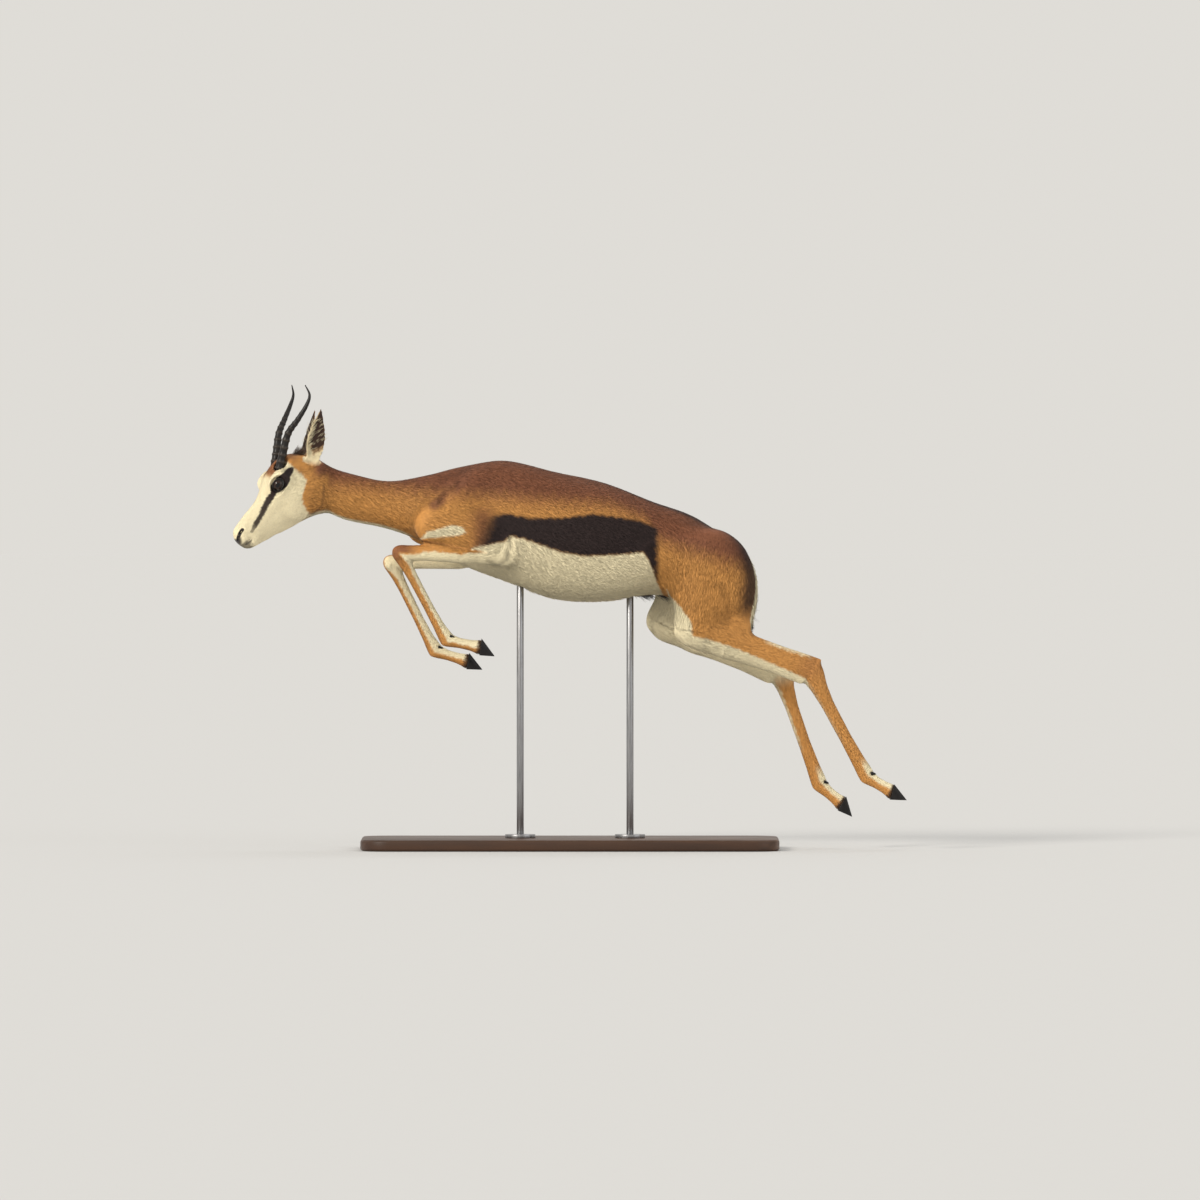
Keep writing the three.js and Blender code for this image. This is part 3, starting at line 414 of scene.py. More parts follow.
def eyeAxes(side):  # where the eye looks, its line towards the nose, and its upward line
    turn, up = math.radians(eyeSizes["forward"]), math.radians(eyeSizes["up"])
    out = np.array((-math.sin(turn) * math.cos(up), side * math.cos(turn) * math.cos(up), math.sin(up)))
    nose = np.array((-1.0, 0, -0.18))
    ahead = unit(nose - (nose @ out) * out)
    above = np.cross(ahead, out)
    return out, ahead, above * np.sign(above[2])


def eyeCentre(side):
    return np.array(eyeSizes["centre"]) * (1, side, 1)


def slitReach(ahead, above):  # 1 on the edge of the eye's opening, less inside it
    wide, high = eyeSizes["opening"]
    reach = wide * (1 + eyeSizes["cornerReach"] * ramp(0, wide, ahead))
    drop = np.where(ahead > 0, -eyeSizes["cornerDrop"] * (ahead / wide) ** 2, 0)
    return np.sqrt((ahead / reach) ** 2 + ((above - drop) / high) ** 2)


def bothSides(points):  # the right side laid over the left one
    return np.abs(points * (0, 1, 0)) + points * (1, 0, 1)


def crease(found, last, width, depth):  # found by nearest on a line whose last point has this number
    distance, along, _ = found
    fade = np.minimum(ramp(-0.01, 0.35, along), ramp(last + 0.01, last - 0.5, along))
    return -depth * fade * np.exp(-(distance / width) ** 2)


def sculptBody(obj):
    p = pointsOf(obj)
    sideways = np.abs(normalsOf(obj)[:, 1]) * ramp(-0.50, -0.44, p[:, 0])
    push = np.zeros(len(p))
    for line, width, depth in bodyFolds:
        push += crease(fromSide(p, line), len(line) - 1, width, depth)
    for (x, z), (wide, high), height in bodySwells:
        push += height * np.exp(-((p[:, 0] - x) / wide) ** 2 - ((p[:, 2] - z) / high) ** 2)
    setPoints(obj, p + (push * sideways)[:, None] * normalsOf(obj))


def refineFace(obj):  # splits the faces of the muzzle and round the eyes, for the folds to follow
    h = into(headFrame, pointsOf(obj))
    near = within(h, *headBoxes["muzzle"])
    for side in (-1, 1):
        near |= np.linalg.norm(h - eyeCentre(side), axis=1) < headBoxes["round the eye"]
    editAll(obj)
    bpy.ops.mesh.select_all(action="DESELECT")
    leaveEdit()
    loops = readAll(obj.data.loops, "vertex_index", 1, np.int64)[:, 0]
    starts = readAll(obj.data.polygons, "loop_start", 1, np.int64)[:, 0]
    obj.data.polygons.foreach_set("select", np.minimum.reduceat(near[loops].astype(int), starts) > 0)
    bpy.ops.object.mode_set(mode="EDIT")
    bpy.ops.mesh.select_mode(type="FACE")
    bpy.ops.mesh.subdivide(number_cuts=1)
    leaveEdit()


def openLids(q):  # sinks the skin inside the eye's opening and lays lids with a fold round it
    for side in (-1, 1):
        out, ahead, above = eyeAxes(side)
        r = q - eyeCentre(side)
        u, v, w = r @ ahead, r @ above, r @ out
        reach = slitReach(u, v)
        ball = np.sqrt(np.maximum(eyeSizes["radius"] ** 2 - u * u - v * v, 0))
        under = np.minimum(w, ball - 0.0030)
        lid = ball + eyeSizes["lid"]
        inside, rim = ramp(1.03, 0.93, reach), ramp(1.85, 1.10, reach)
        shaped = np.where(reach < 1, inside * under + (1 - inside) * lid, rim * lid + (1 - rim) * w)
        shaped -= 0.0010 * np.exp(-((reach - 1.55) / 0.12) ** 2)
        q = q + np.where((w > -0.004) & (reach < 2.3), shaped - w, 0)[:, None] * out
    return q


def sculptHead(obj):
    points = pointsOf(obj)
    h = into(headFrame, points)
    near = np.where(within(h, *headBoxes["head"]))[0]
    q = h[near]
    folded = bothSides(q)
    normals = normalsOf(obj)[near] @ np.array(headFrame)[:3, :3]
    push = np.zeros(len(q))
    for place, reach, height in faceBumps:
        push += height * np.exp(-(((folded - place) / reach) ** 2).sum(1))
    for name, width, depth in faceCreases:
        line = np.array(faceLines[name])
        push += crease(nearest(folded, line), len(line) - 1, width, depth)
    points[near] = outOf(headFrame, openLids(q + push[:, None] * normals))
    setPoints(obj, points)


def looseness(points):  # 0 on the head, ears and tail, where every triangle is kept; more down the legs
    zones = zonesOf(points)
    owner = ownersOf(zones)
    loose = (owner == "trunk") * 1.0
    for leg in legPoses:
        onLeg = np.interp(zones[leg]["along"], (0, 1, 1.6, 4), (1, 1.1, 1.4, 1.6))
        loose = np.where(owner == leg, onLeg, loose)
    return loose


def thinOut(obj, goal):
    editAll(obj)
    bpy.ops.mesh.quads_convert_to_tris()
    leaveEdit()
    points = pointsOf(obj)
    loose = looseness(points)
    obj.data.calc_loop_triangles()
    corners = readAll(obj.data.loop_triangles, "vertices", 3, np.int64)
    fine = BVHTree.FromPolygons(points.tolist(), corners.tolist())
    group = obj.vertex_groups.new(name="thin")
    group.add(np.where(loose > 0)[0].tolist(), 1.0, "REPLACE")
    rough = np.random.default_rng(5).normal(0, 0.0004, len(points)) * loose     # keeps the triangles even
    setPoints(obj, points + rough[:, None] * normalsOf(obj))
    applyModifier(obj, "DECIMATE", ratio=goal / len(obj.data.polygons), vertex_group="thin",
                  vertex_group_factor=1.0)
    obj.vertex_groups.clear()
    points = pointsOf(obj)
    loose = (looseness(points) > 0) * 1.0
    relaxed = relax(points, edgesOf(obj), 0.5 * loose, 4)
    onFine = np.array([fine.find_nearest(point)[0].to_tuple() for point in relaxed.tolist()])
    setPoints(obj, np.where(loose[:, None] > 0, onFine, points))
    pick(obj)
    bpy.ops.object.shade_smooth()


sculptBody(skin)
refineFace(skin)
sculptHead(skin)
print("head sculpted:", len(skin.data.vertices), "points")
thinOut(skin, skinSizes["triangles"])
print("skin thinned:", len(skin.data.polygons), "triangles")


sideMarks = {  # along the body: heights on the flank
    "bandTop": [(-0.182, 0.7485), (-0.142, 0.7560), (-0.092, 0.746), (-0.020, 0.746), (0.052, 0.755),
                (0.112, 0.7480), (0.157, 0.7390), (0.195, 0.724)],
    "wedgeTop": [(-0.345, 0.694), (-0.331, 0.703), (-0.321, 0.714), (-0.264, 0.730), (-0.240, 0.726),
                 (-0.233, 0.715), (-0.226, 0.700)],
    "wedgeLow": [(-0.345, 0.696), (-0.331, 0.699), (-0.250, 0.706), (-0.232, 0.714), (-0.226, 0.722)],
    "whiteTop": [(-0.420, 0.686), (-0.360, 0.690), (-0.312, 0.666), (-0.241, 0.665), (-0.214, 0.679),
                 (-0.183, 0.686), (-0.143, 0.695), (-0.1305, 0.705), (-0.092, 0.6955), (-0.020, 0.6696),
                 (0.034, 0.6604), (0.112, 0.664), (0.165, 0.670), (0.180, 0.645), (0.196, 0.600),
                 (0.215, 0.560), (0.30, 0.52)],
    "saddleLow": [(-0.60, 0.835), (-0.489, 0.820), (-0.399, 0.812), (-0.330, 0.806), (-0.255, 0.800),
                  (-0.146, 0.795), (-0.083, 0.787), (0.089, 0.776), (0.17, 0.745), (0.20, 0.700),
                  (0.25, 0.680), (0.30, 0.665), (0.35, 0.650), (0.42, 0.640)],
    # these two lines carry painted shade: the shoulder crease and the crease where the foreleg meets the chest
    "shoulderCreaseShade": [(-0.230, 0.842), (-0.259, 0.815), (-0.279, 0.806), (-0.290, 0.785), (-0.304, 0.776)],
    "elbowCreaseShade": [(-0.136, 0.700), (-0.134, 0.680), (-0.141, 0.652), (-0.160, 0.640), (-0.195, 0.650)]}
rumpHalf = [  # height, and half the width of the white there
    (0.42, 0.046), (0.48, 0.060), (0.53, 0.064), (0.58, 0.061), (0.63, 0.050), (0.67, 0.035), (0.70, 0.018),
    (0.718, 0.0)]
faceMarks = {"stripe": [(0.132, 0.021), (0.101, 0.0104), (0.076, 0.0), (0.051, -0.0074), (0.0335, -0.0128)],
             "cheek": [(-0.080, 0.158), (-0.065, 0.157), (-0.049, 0.158), (-0.032, 0.166), (-0.021, 0.184),
                       (-0.013, 0.200), (0.002, 0.203), (0.020, 0.199), (0.06, 0.200)],
             # this line is painted shade: the crease running down behind the jaw
             "throatCreaseShade": [(0.0025, 0.004), (0.0, -0.041), (-0.017, -0.061)]}
crownTuft, crownRust = (-0.044, 0, 0.070), (-0.062, 0, 0.052)      # in the crown's frame
foreEdges = {  # along the leg: the white lies behind this share of its width
    "outer": [(0.9, 0.75), (1.1, 0.60), (1.23, 0.40), (1.36, 0.02), (1.7, -0.04), (1.9, -0.35), (2.1, -0.30),
              (2.9, -0.05), (3.1, 0.2), (4, 0.25)],
    "inner": [(0.9, 0.7), (1.6, 0.62), (2, 0.85), (2.15, 0.30), (3, 0.20), (4, -0.1)]}
hindWhite = [  # along the leg: the white lies ahead of the bone by more than this
    (0.30, 0.112), (0.45, 0.095), (0.617, 0.071), (0.74, 0.048), (0.86, 0.026), (0.93, 0.016), (1.0, 0.012),
    (1.08, 0.008), (1.36, 0.005), (1.69, 0.010), (1.9, 0.014), (2.05, 0.017), (2.2, 0.020)]


wavers = {  # how far the edges of the marks wander: height, size and seed of two ripples
    "trunk": ((0.0020, 0.017, 0.0), (0.0012, 0.006, 2.0)), "rump": ((0.0020, 0.015, 0.0), (0.0012, 0.006, 1.0)),
    "leg": ((0.10, 0.020, 0.0), (0.06, 0.007, 3.0)), "ear": ((0.10, 0.012, 0.0), (0.06, 0.005, 0.0)),
    "head": ((0.0012, 0.010, 0.0), (0.0007, 0.004, 1.0))}


def waverOf(kind, p):
    return sum(height * ripple(p, size, seed) for height, size, seed in wavers[kind])


def table(rows, at):
    rows = np.array(rows)
    return np.interp(at, rows[:, 0], rows[:, 1])


def sectionSpan(along, depth, mine):  # front and rear of a leg at each place along it
    cell = np.clip((along / 0.1).astype(int), 0, 39)
    high, low = np.full(40, -1.0), np.full(40, 1.0)
    np.maximum.at(high, cell[mine], depth[mine])
    np.minimum.at(low, cell[mine], depth[mine])
    full = (high > -0.9) & (low < 0.9)
    middles = (np.arange(40)[full] + 0.5) * 0.1
    return np.interp(along, middles, low[full]), np.interp(along, middles, high[full])


def markTrunk(p, n):
    x, y, z = p.T
    waver = waverOf("trunk", p)
    top, low = table(sideMarks["bandTop"], x), table(sideMarks["whiteTop"], x)
    dark = ramp(top + 0.004, top - 0.005, z + waver) * ramp(low - 0.003, low + 0.003, z + 0.7 * waver)
    dark *= ramp(-0.212, -0.165, x - 0.35 * (z - 0.72) + 1.5 * waver) * ramp(0.205, 0.190, x + 1.5 * waver)
    pale = ramp(low + 0.0035, low - 0.0035, z + 0.7 * waver)
    above, below = table(sideMarks["wedgeTop"], x), table(sideMarks["wedgeLow"], x)
    wavy = z + 0.4 * waver
    wedge = ramp(above + 0.002, above - 0.002, wavy) * ramp(below - 0.002, below + 0.002, wavy)
    pale = np.maximum(pale, wedge * ramp(-0.350, -0.340, x) * ramp(-0.226, -0.230, x))
    saddleLow = table(sideMarks["saddleLow"], x)
    saddle = ramp(saddleLow - 0.036, saddleLow + 0.026, z + 3 * waver)
    ahead = 0.75 * np.exp(-((x + 0.195) / 0.026) ** 2) * ramp(0.79, 0.745, z)
    # painted shade as darker, browner hair along the shoulder crease and the crease where the foreleg meets the
    # chest
    shoulderCreaseShade, elbowCreaseShade = (ramp(1.0, 0.2, fromSide(p, sideMarks[line])[0] / wide)
                    for line, wide in (("shoulderCreaseShade", 0.020), ("elbowCreaseShade", 0.0050)))
    ridgeHalf, slope = (np.interp(x, (0.16, 0.30), ends) for ends in ((0.022, 0.046), (0.45, 0.25)))
    ridge = ramp(1.0, 0.4, (np.abs(y) + waver) / ridgeHalf) * ramp(slope, slope + 0.3, n[:, 2])
    ridge *= ramp(0.0, 0.16, x) * np.interp(x, (0.1, 0.3), (0.60, 0.80))
    under = ramp(-0.72, -0.86, n[:, 2]) * ramp(0.024, 0.014, np.abs(y)) * ramp(-0.34, -0.38, x)
    sheath = ramp(0.016, 0.010, np.hypot(x - 0.168, (z - 0.566) * 0.7)) * ramp(0.016, 0.010, np.abs(y))
    dark = np.maximum.reduce([dark, ridge, 0.9 * sheath, 0.16 * shoulderCreaseShade, 0.22 * elbowCreaseShade])
    return {"pale": np.maximum(pale, under) * (1 - sheath), "dark": dark,
            "saddle": np.maximum.reduce([saddle, ahead, 0.8 * shoulderCreaseShade]), "bare": 0 * x}


def lay(marks, own, **values):  # puts values over the marks where own is 1
    for key in marks:
        marks[key] = own * values.get(key, 0.0) + (1 - own) * marks[key]


def markLegs(p, n, zones, owner, marks):
    waver = waverOf("leg", p)
    for leg, pose in legPoses.items():
        _, fronts = legLine(leg)
        along, offset, mine = zones[leg]["along"], p - zones[leg]["spot"], owner == leg
        joint = np.round(along).astype(int)     # where the fronts of two bones are mixed
        later = (0.5 + 0.5 * np.clip((along - joint) / 0.05, -1, 1))[:, None]
        facing = fronts[np.clip(joint - 1, 0, 3)] * (1 - later) + fronts[np.clip(joint, 0, 3)] * later
        ahead = (offset * facing).sum(1)
        depth = np.copysign(np.hypot(offset[:, 0], offset[:, 2]), ahead)
        low, high = sectionSpan(along, depth, mine)
        front = 2 * (depth - low) / np.maximum(high - low, 0.004) - 1
        inner = ramp(0.0, -0.35, n[:, 1] * pose["side"])
        if kindOf(leg) == "foreleg":
            outerEdge, innerEdge = table(foreEdges["outer"], along), table(foreEdges["inner"], along)
            edge = outerEdge + (innerEdge - outerEdge) * inner
            white = ramp(edge + 0.14, edge - 0.14, front + waver)
            knee = np.exp(-((along - 1.97) / 0.12) ** 2) * ramp(-0.25, 0.2, front) * (1 - inner)
            rust = np.maximum(0.9 * knee, 0.40 * ramp(0.5, 1.0, front))
            own = mine * ramp(1.0, 1.22, along)
        else:
            edge = table(hindWhite, along)
            white = ramp(edge - 0.0022, edge + 0.0022, depth + 0.010 * waver) * ramp(2.3, 2.2, along)
            white = np.maximum(white, inner * ramp(2.15, 1.95, along))
            wavy = front + waver
            shin = ramp(0.45, 0.75, wavy) * ramp(2.02, 2.12, along) * ramp(2.75, 2.5, along)
            heel = ramp(-0.72, -0.92, wavy) * ramp(1.5, 1.65, along) * ramp(1.98, 1.9, along)
            foot = ramp(0.0, -0.35, wavy) * ramp(2.82, 2.95, along)
            white = np.maximum.reduce([white, 0.75 * (0.3 + 0.7 * inner) * shin, 0.75 * heel, foot])
            hock = 0.35 * np.exp(-((along - 1.97) / 0.1) ** 2)
            rust = np.maximum(hock, marks["saddle"] * ramp(1.0, 0.6, along))
            own = mine * ramp(0.28, 0.42, along)
        lay(marks, own, pale=white, saddle=rust, dark=0.6 * ramp(3.86, 3.96, along))


def markRump(p, marks):
    x, y, z = p.T
    away = np.abs(y) + waverOf("rump", p) - table(rumpHalf, z)
    patch = ramp(0.326, 0.340, x) * ramp(0.44, 0.47, z) * ramp(0.002, -0.002, away)
    marks["pale"] = np.maximum(marks["pale"], patch)
    reach = np.interp(z, (0.52, 0.62, 0.70), (0.020, 0.044, 0.082))
    first, full = (np.interp(z, (0.64, 0.70), ends) for ends in ((0.326, 0.26), (0.340, 0.37)))
    border = ramp(first, full, x) * ramp(-0.002, 0.001, away)          # it starts softly on the croup
    border *= ramp(1.0, 0.5, away / reach) * ramp(0.50, 0.56, z)
    marks["dark"] = np.maximum(marks["dark"] * (1 - patch), 0.88 * border)


def markHead(p, n, marks):
    h, c = into(headFrame, p), into(crownFrame, p)
    folded, side = bothSides(h), ramp(0.008, 0.014, np.abs(h[:, 1]))
    waver = waverOf("head", p)
    rear = table(faceMarks["cheek"], h[:, 2])
    white = ramp(rear + 0.004, rear - 0.004, h[:, 0] + 2 * waver)
    brow = ramp(0.030, 0.038, h[:, 2] - 0.25 * (h[:, 0] - 0.15)) * ramp(0.138, 0.158, h[:, 0] + 2 * waver)
    brow *= ramp(0.030, 0.022, np.abs(h[:, 1]) + waver)
    distance, along, _ = fromSide(h, faceMarks["stripe"])
    half, depth = (np.interp(along, (0, 3, 4), rows) for rows in ((0.0066, 0.0052, 0.0036), (1, 0.95, 0.6)))
    streak = ramp(half + 0.0014, half - 0.0014, distance + waver) * side * depth
    patch = ((h[:, 0] - 0.152) / 0.029) ** 2 + ((h[:, 2] - 0.025 - 0.08 * (h[:, 0] - 0.15)) / 0.0150) ** 2
    corner = ((h[:, 0] - 0.178) / 0.020) ** 2 + ((h[:, 2] - 0.029) / 0.0085) ** 2
    mask = np.maximum(ramp(1.12, 0.88, patch + 60 * waver), ramp(1.2, 0.8, corner + 60 * waver)) * side
    lips = ramp(0.020, 0.008, h[:, 0] + 3 * waver) * ramp(-0.016, -0.022, h[:, 2])
    nosePad = ramp(0.006, -0.002, h[:, 0] - 0.5 * (h[:, 2] + 0.010)) * ramp(0.000, -0.006, h[:, 2])
    nostril = ramp(0.0050, 0.0030, nearest(folded, np.array(faceLines["nostril"]))[0])
    lipLine = ramp(0.0030, 0.0015, nearest(folded, np.array(faceLines["mouth"]))[0])
    # painted shade of the crease behind the jaw, drawn as a dark line of hair
    throatCreaseShade = ramp(0.0045, 0.0015, fromSide(c, faceMarks["throatCreaseShade"])[0] + waver)
    throatCreaseShade *= ramp(0.015, 0.025, np.abs(c[:, 1]))
    crown = ramp(0.022, 0.012, np.linalg.norm(c - crownTuft, axis=1) + 2 * waver)
    rust = np.maximum(brow, 0.9 * ramp(0.034, 0.020, np.linalg.norm(c - crownRust, axis=1)))
    nook = ramp(0.01, 0.04, c[:, 2]) * ramp(-0.035, -0.005, c[:, 0])
    jawUnder = ramp(-0.45, -0.7, n[:, 2]) * ramp(0.03, 0.02, np.abs(c[:, 1]))
    own = ramp(0.004, -0.004, (p[:, 0] + 0.545) - 0.12 * (p[:, 2] - 0.81))
    lay(marks, own, pale=np.maximum(white * (1 - brow), jawUnder), saddle=np.clip(0.85 * rust + nook, 0, 1),
        dark=np.maximum.reduce([streak, mask, 0.75 * lips, 0.6 * nosePad, nostril, 0.85 * lipLine,
                                0.45 * throatCreaseShade, 0.85 * crown]),
        bare=np.maximum.reduce([nostril, lipLine * ramp(0.03, 0.01, h[:, 0]), 0.9 * nosePad]))


earHalf = (0.008, 0.010, 0.0165, 0.0215, 0.0215, 0.0170, 0.0090, 0.0015)     # half its width, root to tip


def earPlace(side, p):  # share of the way up and across towards the pale inner edge, and the way it opens
    ear = ears[side]
    root, tip = np.array(ear["root"]), np.array(ear["tip"])
    axis = unit(tip - root)
    opens = unit(np.array(ear["opens"]) - (np.array(ear["opens"]) @ axis) * axis)
    r = into(crownFrame, p) - root
    up = (r @ axis) / np.linalg.norm(tip - root)
    half = np.interp(up, (0, 0.14, 0.29, 0.43, 0.57, 0.71, 0.86, 1), earHalf)
    return up, (r @ np.cross(axis, opens)) * ear["inner"] / half, opens


def markEars(p, n, owner, marks):
    turned = n @ np.array(crownFrame)[:3, :3]
    for side in ears:
        up, across, opens = earPlace(side, p)
        waver = waverOf("ear", p)
        own = (owner == "ear_" + side) * ramp(0.16, 0.26, up)
        cup = ramp(-0.05, 0.25, turned @ opens)
        black = cup * ramp(0.82, 0.62, across + waver) * ramp(-0.97, -0.86, across)
        black *= ramp(0.30, 0.42, up - 0.10 * np.abs(across) + 0.4 * waver)
        back = (1 - cup) * ramp(0.78, 1.0, up)
        lay(marks, own, pale=cup * (1 - black) * 0.9, dark=np.maximum(0.97 * black, 0.5 * back),
            saddle=0.25 * (1 - cup))


def marksAt(p, n):
    zones = zonesOf(p)
    owner = ownersOf(zones)
    marks = markTrunk(p, n)
    markLegs(p, n, zones, owner, marks)
    markRump(p, marks)
    markHead(p, n, marks)
    markEars(p, n, owner, marks)
    tail = (owner == "tail") * 1.0
    black = ramp(0.50, 0.64, zones["tail"]["along"] / (len(tailLine) - 1) + 0.03 * ripple(p, 0.01))
    lay(marks, tail, pale=1 - black, dark=black)
    return zones, owner, np.clip(np.stack([marks[key] for key in ("pale", "dark", "saddle", "bare")], 1), 0, 1)


skinP, skinN = pointsOf(skin), normalsOf(skin)
zones, owner, colours = marksAt(skinP, skinN)
writeValues(skin, "marks", "FLOAT_COLOR", colours)
editAll(skin)
bpy.ops.uv.smart_project(angle_limit=math.radians(66), island_margin=0.001)
leaveEdit()
print("markings laid out")


def lieAlong(name, along):  # the way the hair of each part lies
    if name == "head":
        way = np.array(headFrame)[:3, :3] @ np.array((1.0, 0, -0.12))
        return np.tile(way, (len(along), 1))
    if name.startswith("ear"):
        ear = ears[name[4:]]
        way = np.array(crownFrame)[:3, :3] @ unit(np.array(ear["tip"]) - np.array(ear["root"]))
        return np.tile(way, (len(along), 1))
    line = {"trunk": trunkMiddle, "tail": tailLine}.get(name)
    line = legLine(name)[0] if line is None else line
    steps = unit(np.diff(line, axis=0))
    way = steps[np.clip(along.astype(int), 0, len(steps) - 1)]
    if name == "trunk":
        way = unit(way - np.abs(skinN[:, 1])[:, None] * (0, 0, 0.45))
    return way


skinLie = unit(blended(zones, lieAlong, 5))


def readTriangles(obj):
    obj.data.calc_loop_triangles()
    triangles, uvs = obj.data.loop_triangles, readAll(obj.data.uv_layers.active.data, "uv", 2)
    return readAll(triangles, "vertices", 3, np.int64), uvs[readAll(triangles, "loops", 3, np.int64)]


corners, cornerUvs = readTriangles(skin)
rng = np.random.default_rng(20)

coatSizes = {  # length, width, thickness, and one tuft for each square of this side
    "body": (0.0125, 0.0013, 0.00026, 0.0022), "leg": (0.0075, 0.0011, 0.00022, 0.0018),
    "face": (0.0045, 0.0008, 0.00016, 0.0014), "ear": (0.0060, 0.0009, 0.00018, 0.0016),
    "foot": (0.0048, 0.0009, 0.00020, 0.0015), "tail": (0.0140, 0.0014, 0.00030, 0.0019)}
patchReach, coatLimit = 0.0014, 48000


def coatSizesOnSkin():
    sizes = np.tile(np.array(coatSizes["body"]), (len(skinP), 1))

    def turnTo(kind, share):
        sizes[:] += share[:, None] * (np.array(coatSizes[kind]) - sizes)

    for leg in legPoses:
        turnTo("leg", (owner == leg) * ramp(0.7, 1.7, zones[leg]["along"]))
        turnTo("foot", (owner == leg) * ramp(2.7, 3.3, zones[leg]["along"]))
    towardsNose = ramp(0.205, 0.12, into(headFrame, skinP)[:, 0])
    turnTo("leg", (owner == "head") * 0.6 * (1 - towardsNose))
    turnTo("face", (owner == "head") * towardsNose)
    turnTo("ear", np.char.startswith(owner, "ear") * 1.0)
    turnTo("tail", (owner == "tail") * 1.0)
    return sizes


sizes = coatSizesOnSkin()


def scatter(density):  # random places on the skin, so many to a square metre of each triangle
    a, b, c = (skinP[corners[:, i]] for i in range(3))
    area = np.linalg.norm(np.cross(b - a, c - a), axis=1) / 2
    count = np.floor(area * density + rng.random(len(area))).astype(int)
    faces = np.repeat(np.arange(len(count)), count)
    s, t = rng.random(len(faces)), rng.random(len(faces))
    over = s + t > 1
    s[over], t[over] = 1 - s[over], 1 - t[over]
    return faces, np.stack([1 - s - t, s, t], 1)


def atRoots(values, faces, weights):
    return (values[corners[faces]] * weights[:, :, None]).sum(1)


skinTree = BVHTree.FromPolygons(skinP.tolist(), corners.tolist())


def nearSkin(points):  # the nearest place on the skin and the way out of it
    found = [skinTree.find_nearest(point) for point in points.tolist()]
    faces = [hit[2] for hit in found]
    return np.array([hit[0].to_tuple() for hit in found]), unit(skinN[corners[faces]].mean(1))


def meshFrom(name, points, triangles):
    mesh = bpy.data.meshes.new(name)
    mesh.vertices.add(len(points))
    mesh.vertices.foreach_set("co", points.ravel())
    mesh.loops.add(len(triangles) * 3)
    mesh.loops.foreach_set("vertex_index", triangles.ravel())
    mesh.polygons.add(len(triangles))
    mesh.polygons.foreach_set("loop_start", np.arange(len(triangles)) * 3)
    mesh.polygons.foreach_set("use_smooth", np.ones(len(triangles), bool))
    mesh.update(calc_edges=True)
    obj = bpy.data.objects.new(name, mesh)
    bpy.context.scene.collection.objects.link(obj)
    return obj


def tuftTriangles(rows):  # one closed three-sided tuft of so many rings and a tip
    triangles = [(0, 2, 1)]
    for low in range(0, 3 * (rows - 1), 3):
        for j in range(3):
            a, b = low + j, low + (j + 1) % 3
            triangles += [(a, b, b + 3), (a, b + 3, a + 3)]
    top = 3 * (rows - 1)
    return np.array(triangles + [(top + j, top + (j + 1) % 3, 3 * rows) for j in range(3)])


def rootsOf(faces, weights, way=None):  # where each tuft stands, the way out of the skin and the way it lies
    out = unit(atRoots(skinN, faces, weights))
    lie = atRoots(skinLie, faces, weights) if way is None else np.tile(way, (len(faces), 1))
    return atRoots(skinP, faces, weights), out, unit(lie - (lie * out).sum(1, keepdims=True) * out)


def growTufts(name, faces, weights, length, width, thick, lift, spread, mark=None, rows=1, droop=0.0, way=None):
    root, out, lie = rootsOf(faces, weights, way)
    yaw = rng.normal(0, spread, (len(faces), 1))
    lie = unit(np.cos(yaw) * lie + np.sin(yaw) * np.cross(out, lie))
    side = np.cross(out, lie)
    mark = atRoots(colours, faces, weights) if mark is None else np.broadcast_to(mark, (len(faces), 4))
    root, tipOut = root - 0.0003 * out, out
    points = np.empty((len(faces), 3 * rows + 1, 3))
    for row in range(rows + 1):
        s = row / rows
        rise = (np.sin(lift) * s - droop * s * s) * length
        centre = root + (np.cos(lift) * s * length)[:, None] * lie + rise[:, None] * out
        if row == rows:
            places, outThere = nearSkin(centre)
            height = ((centre - places) * outThere).sum(1)
            wanted = rise if rows == 1 else np.maximum(height, 0.0004)      # short hair follows the skin
            tipOut = outThere if rows == 1 else out
            points[:, -1] = centre + (wanted - height)[:, None] * outThere
            break
        half = width / 2 * (1 - 0.7 * s) * (0.8 if row == 0 and rows > 1 else 1)
        tall = thick * (1 - 0.6 * s)
        corner = ((half, -0.35 * tall), (0 * half, 0.65 * tall), (-half, -0.35 * tall))
        for j, (across, up) in enumerate(corner):
            points[:, 3 * row + j] = centre + across[:, None] * side + up[:, None] * out
    each = 3 * rows + 1
    triangles = (tuftTriangles(rows)[None] + (np.arange(len(faces)) * each)[:, None, None]).reshape(-1, 3)
    tufts = meshFrom(name, points.reshape(-1, 3), triangles)
    writeValues(tufts, "marks", "FLOAT_COLOR", np.repeat(mark, each, axis=0))
    over = np.repeat(out[:, None], each, axis=1)
    over[:, -1] = tipOut
    writeValues(tufts, "over", "FLOAT_VECTOR", over)
    along = np.tile(np.append(np.repeat(np.arange(rows) / rows, 3), 1.0), len(faces))
    hue = np.repeat(rng.random(len(faces)), each)
    writeValues(tufts, "strand", "FLOAT_VECTOR", np.stack([along, hue, 0 * hue], 1))
    spot = (cornerUvs[faces] * weights[:, :, None]).sum(1)
    angle = np.append(np.tile(np.arange(3) * 2 * math.pi / 3, rows), 0.0)
    away = patchReach * np.append(np.repeat(1 - 0.8 * np.arange(rows) / rows, 3), 0.0)
    patch = np.stack([away * np.cos(angle), away * np.sin(angle)], 1)
    spots = (spot[:, None] + patch[None]).reshape(-1, 2)
    tufts.data.uv_layers.new(name="OFBake").data.foreach_set("uv", spots[triangles.ravel()].ravel())
    return tufts


def inEyeOpening(h):
    gap = np.zeros(len(h), bool)
    for side in (-1, 1):
        out, ahead, above = eyeAxes(side)
        r = h - eyeCentre(side)
        gap |= (slitReach(r @ ahead, r @ above) < 1.14) & (r @ out > 0)
    return gap


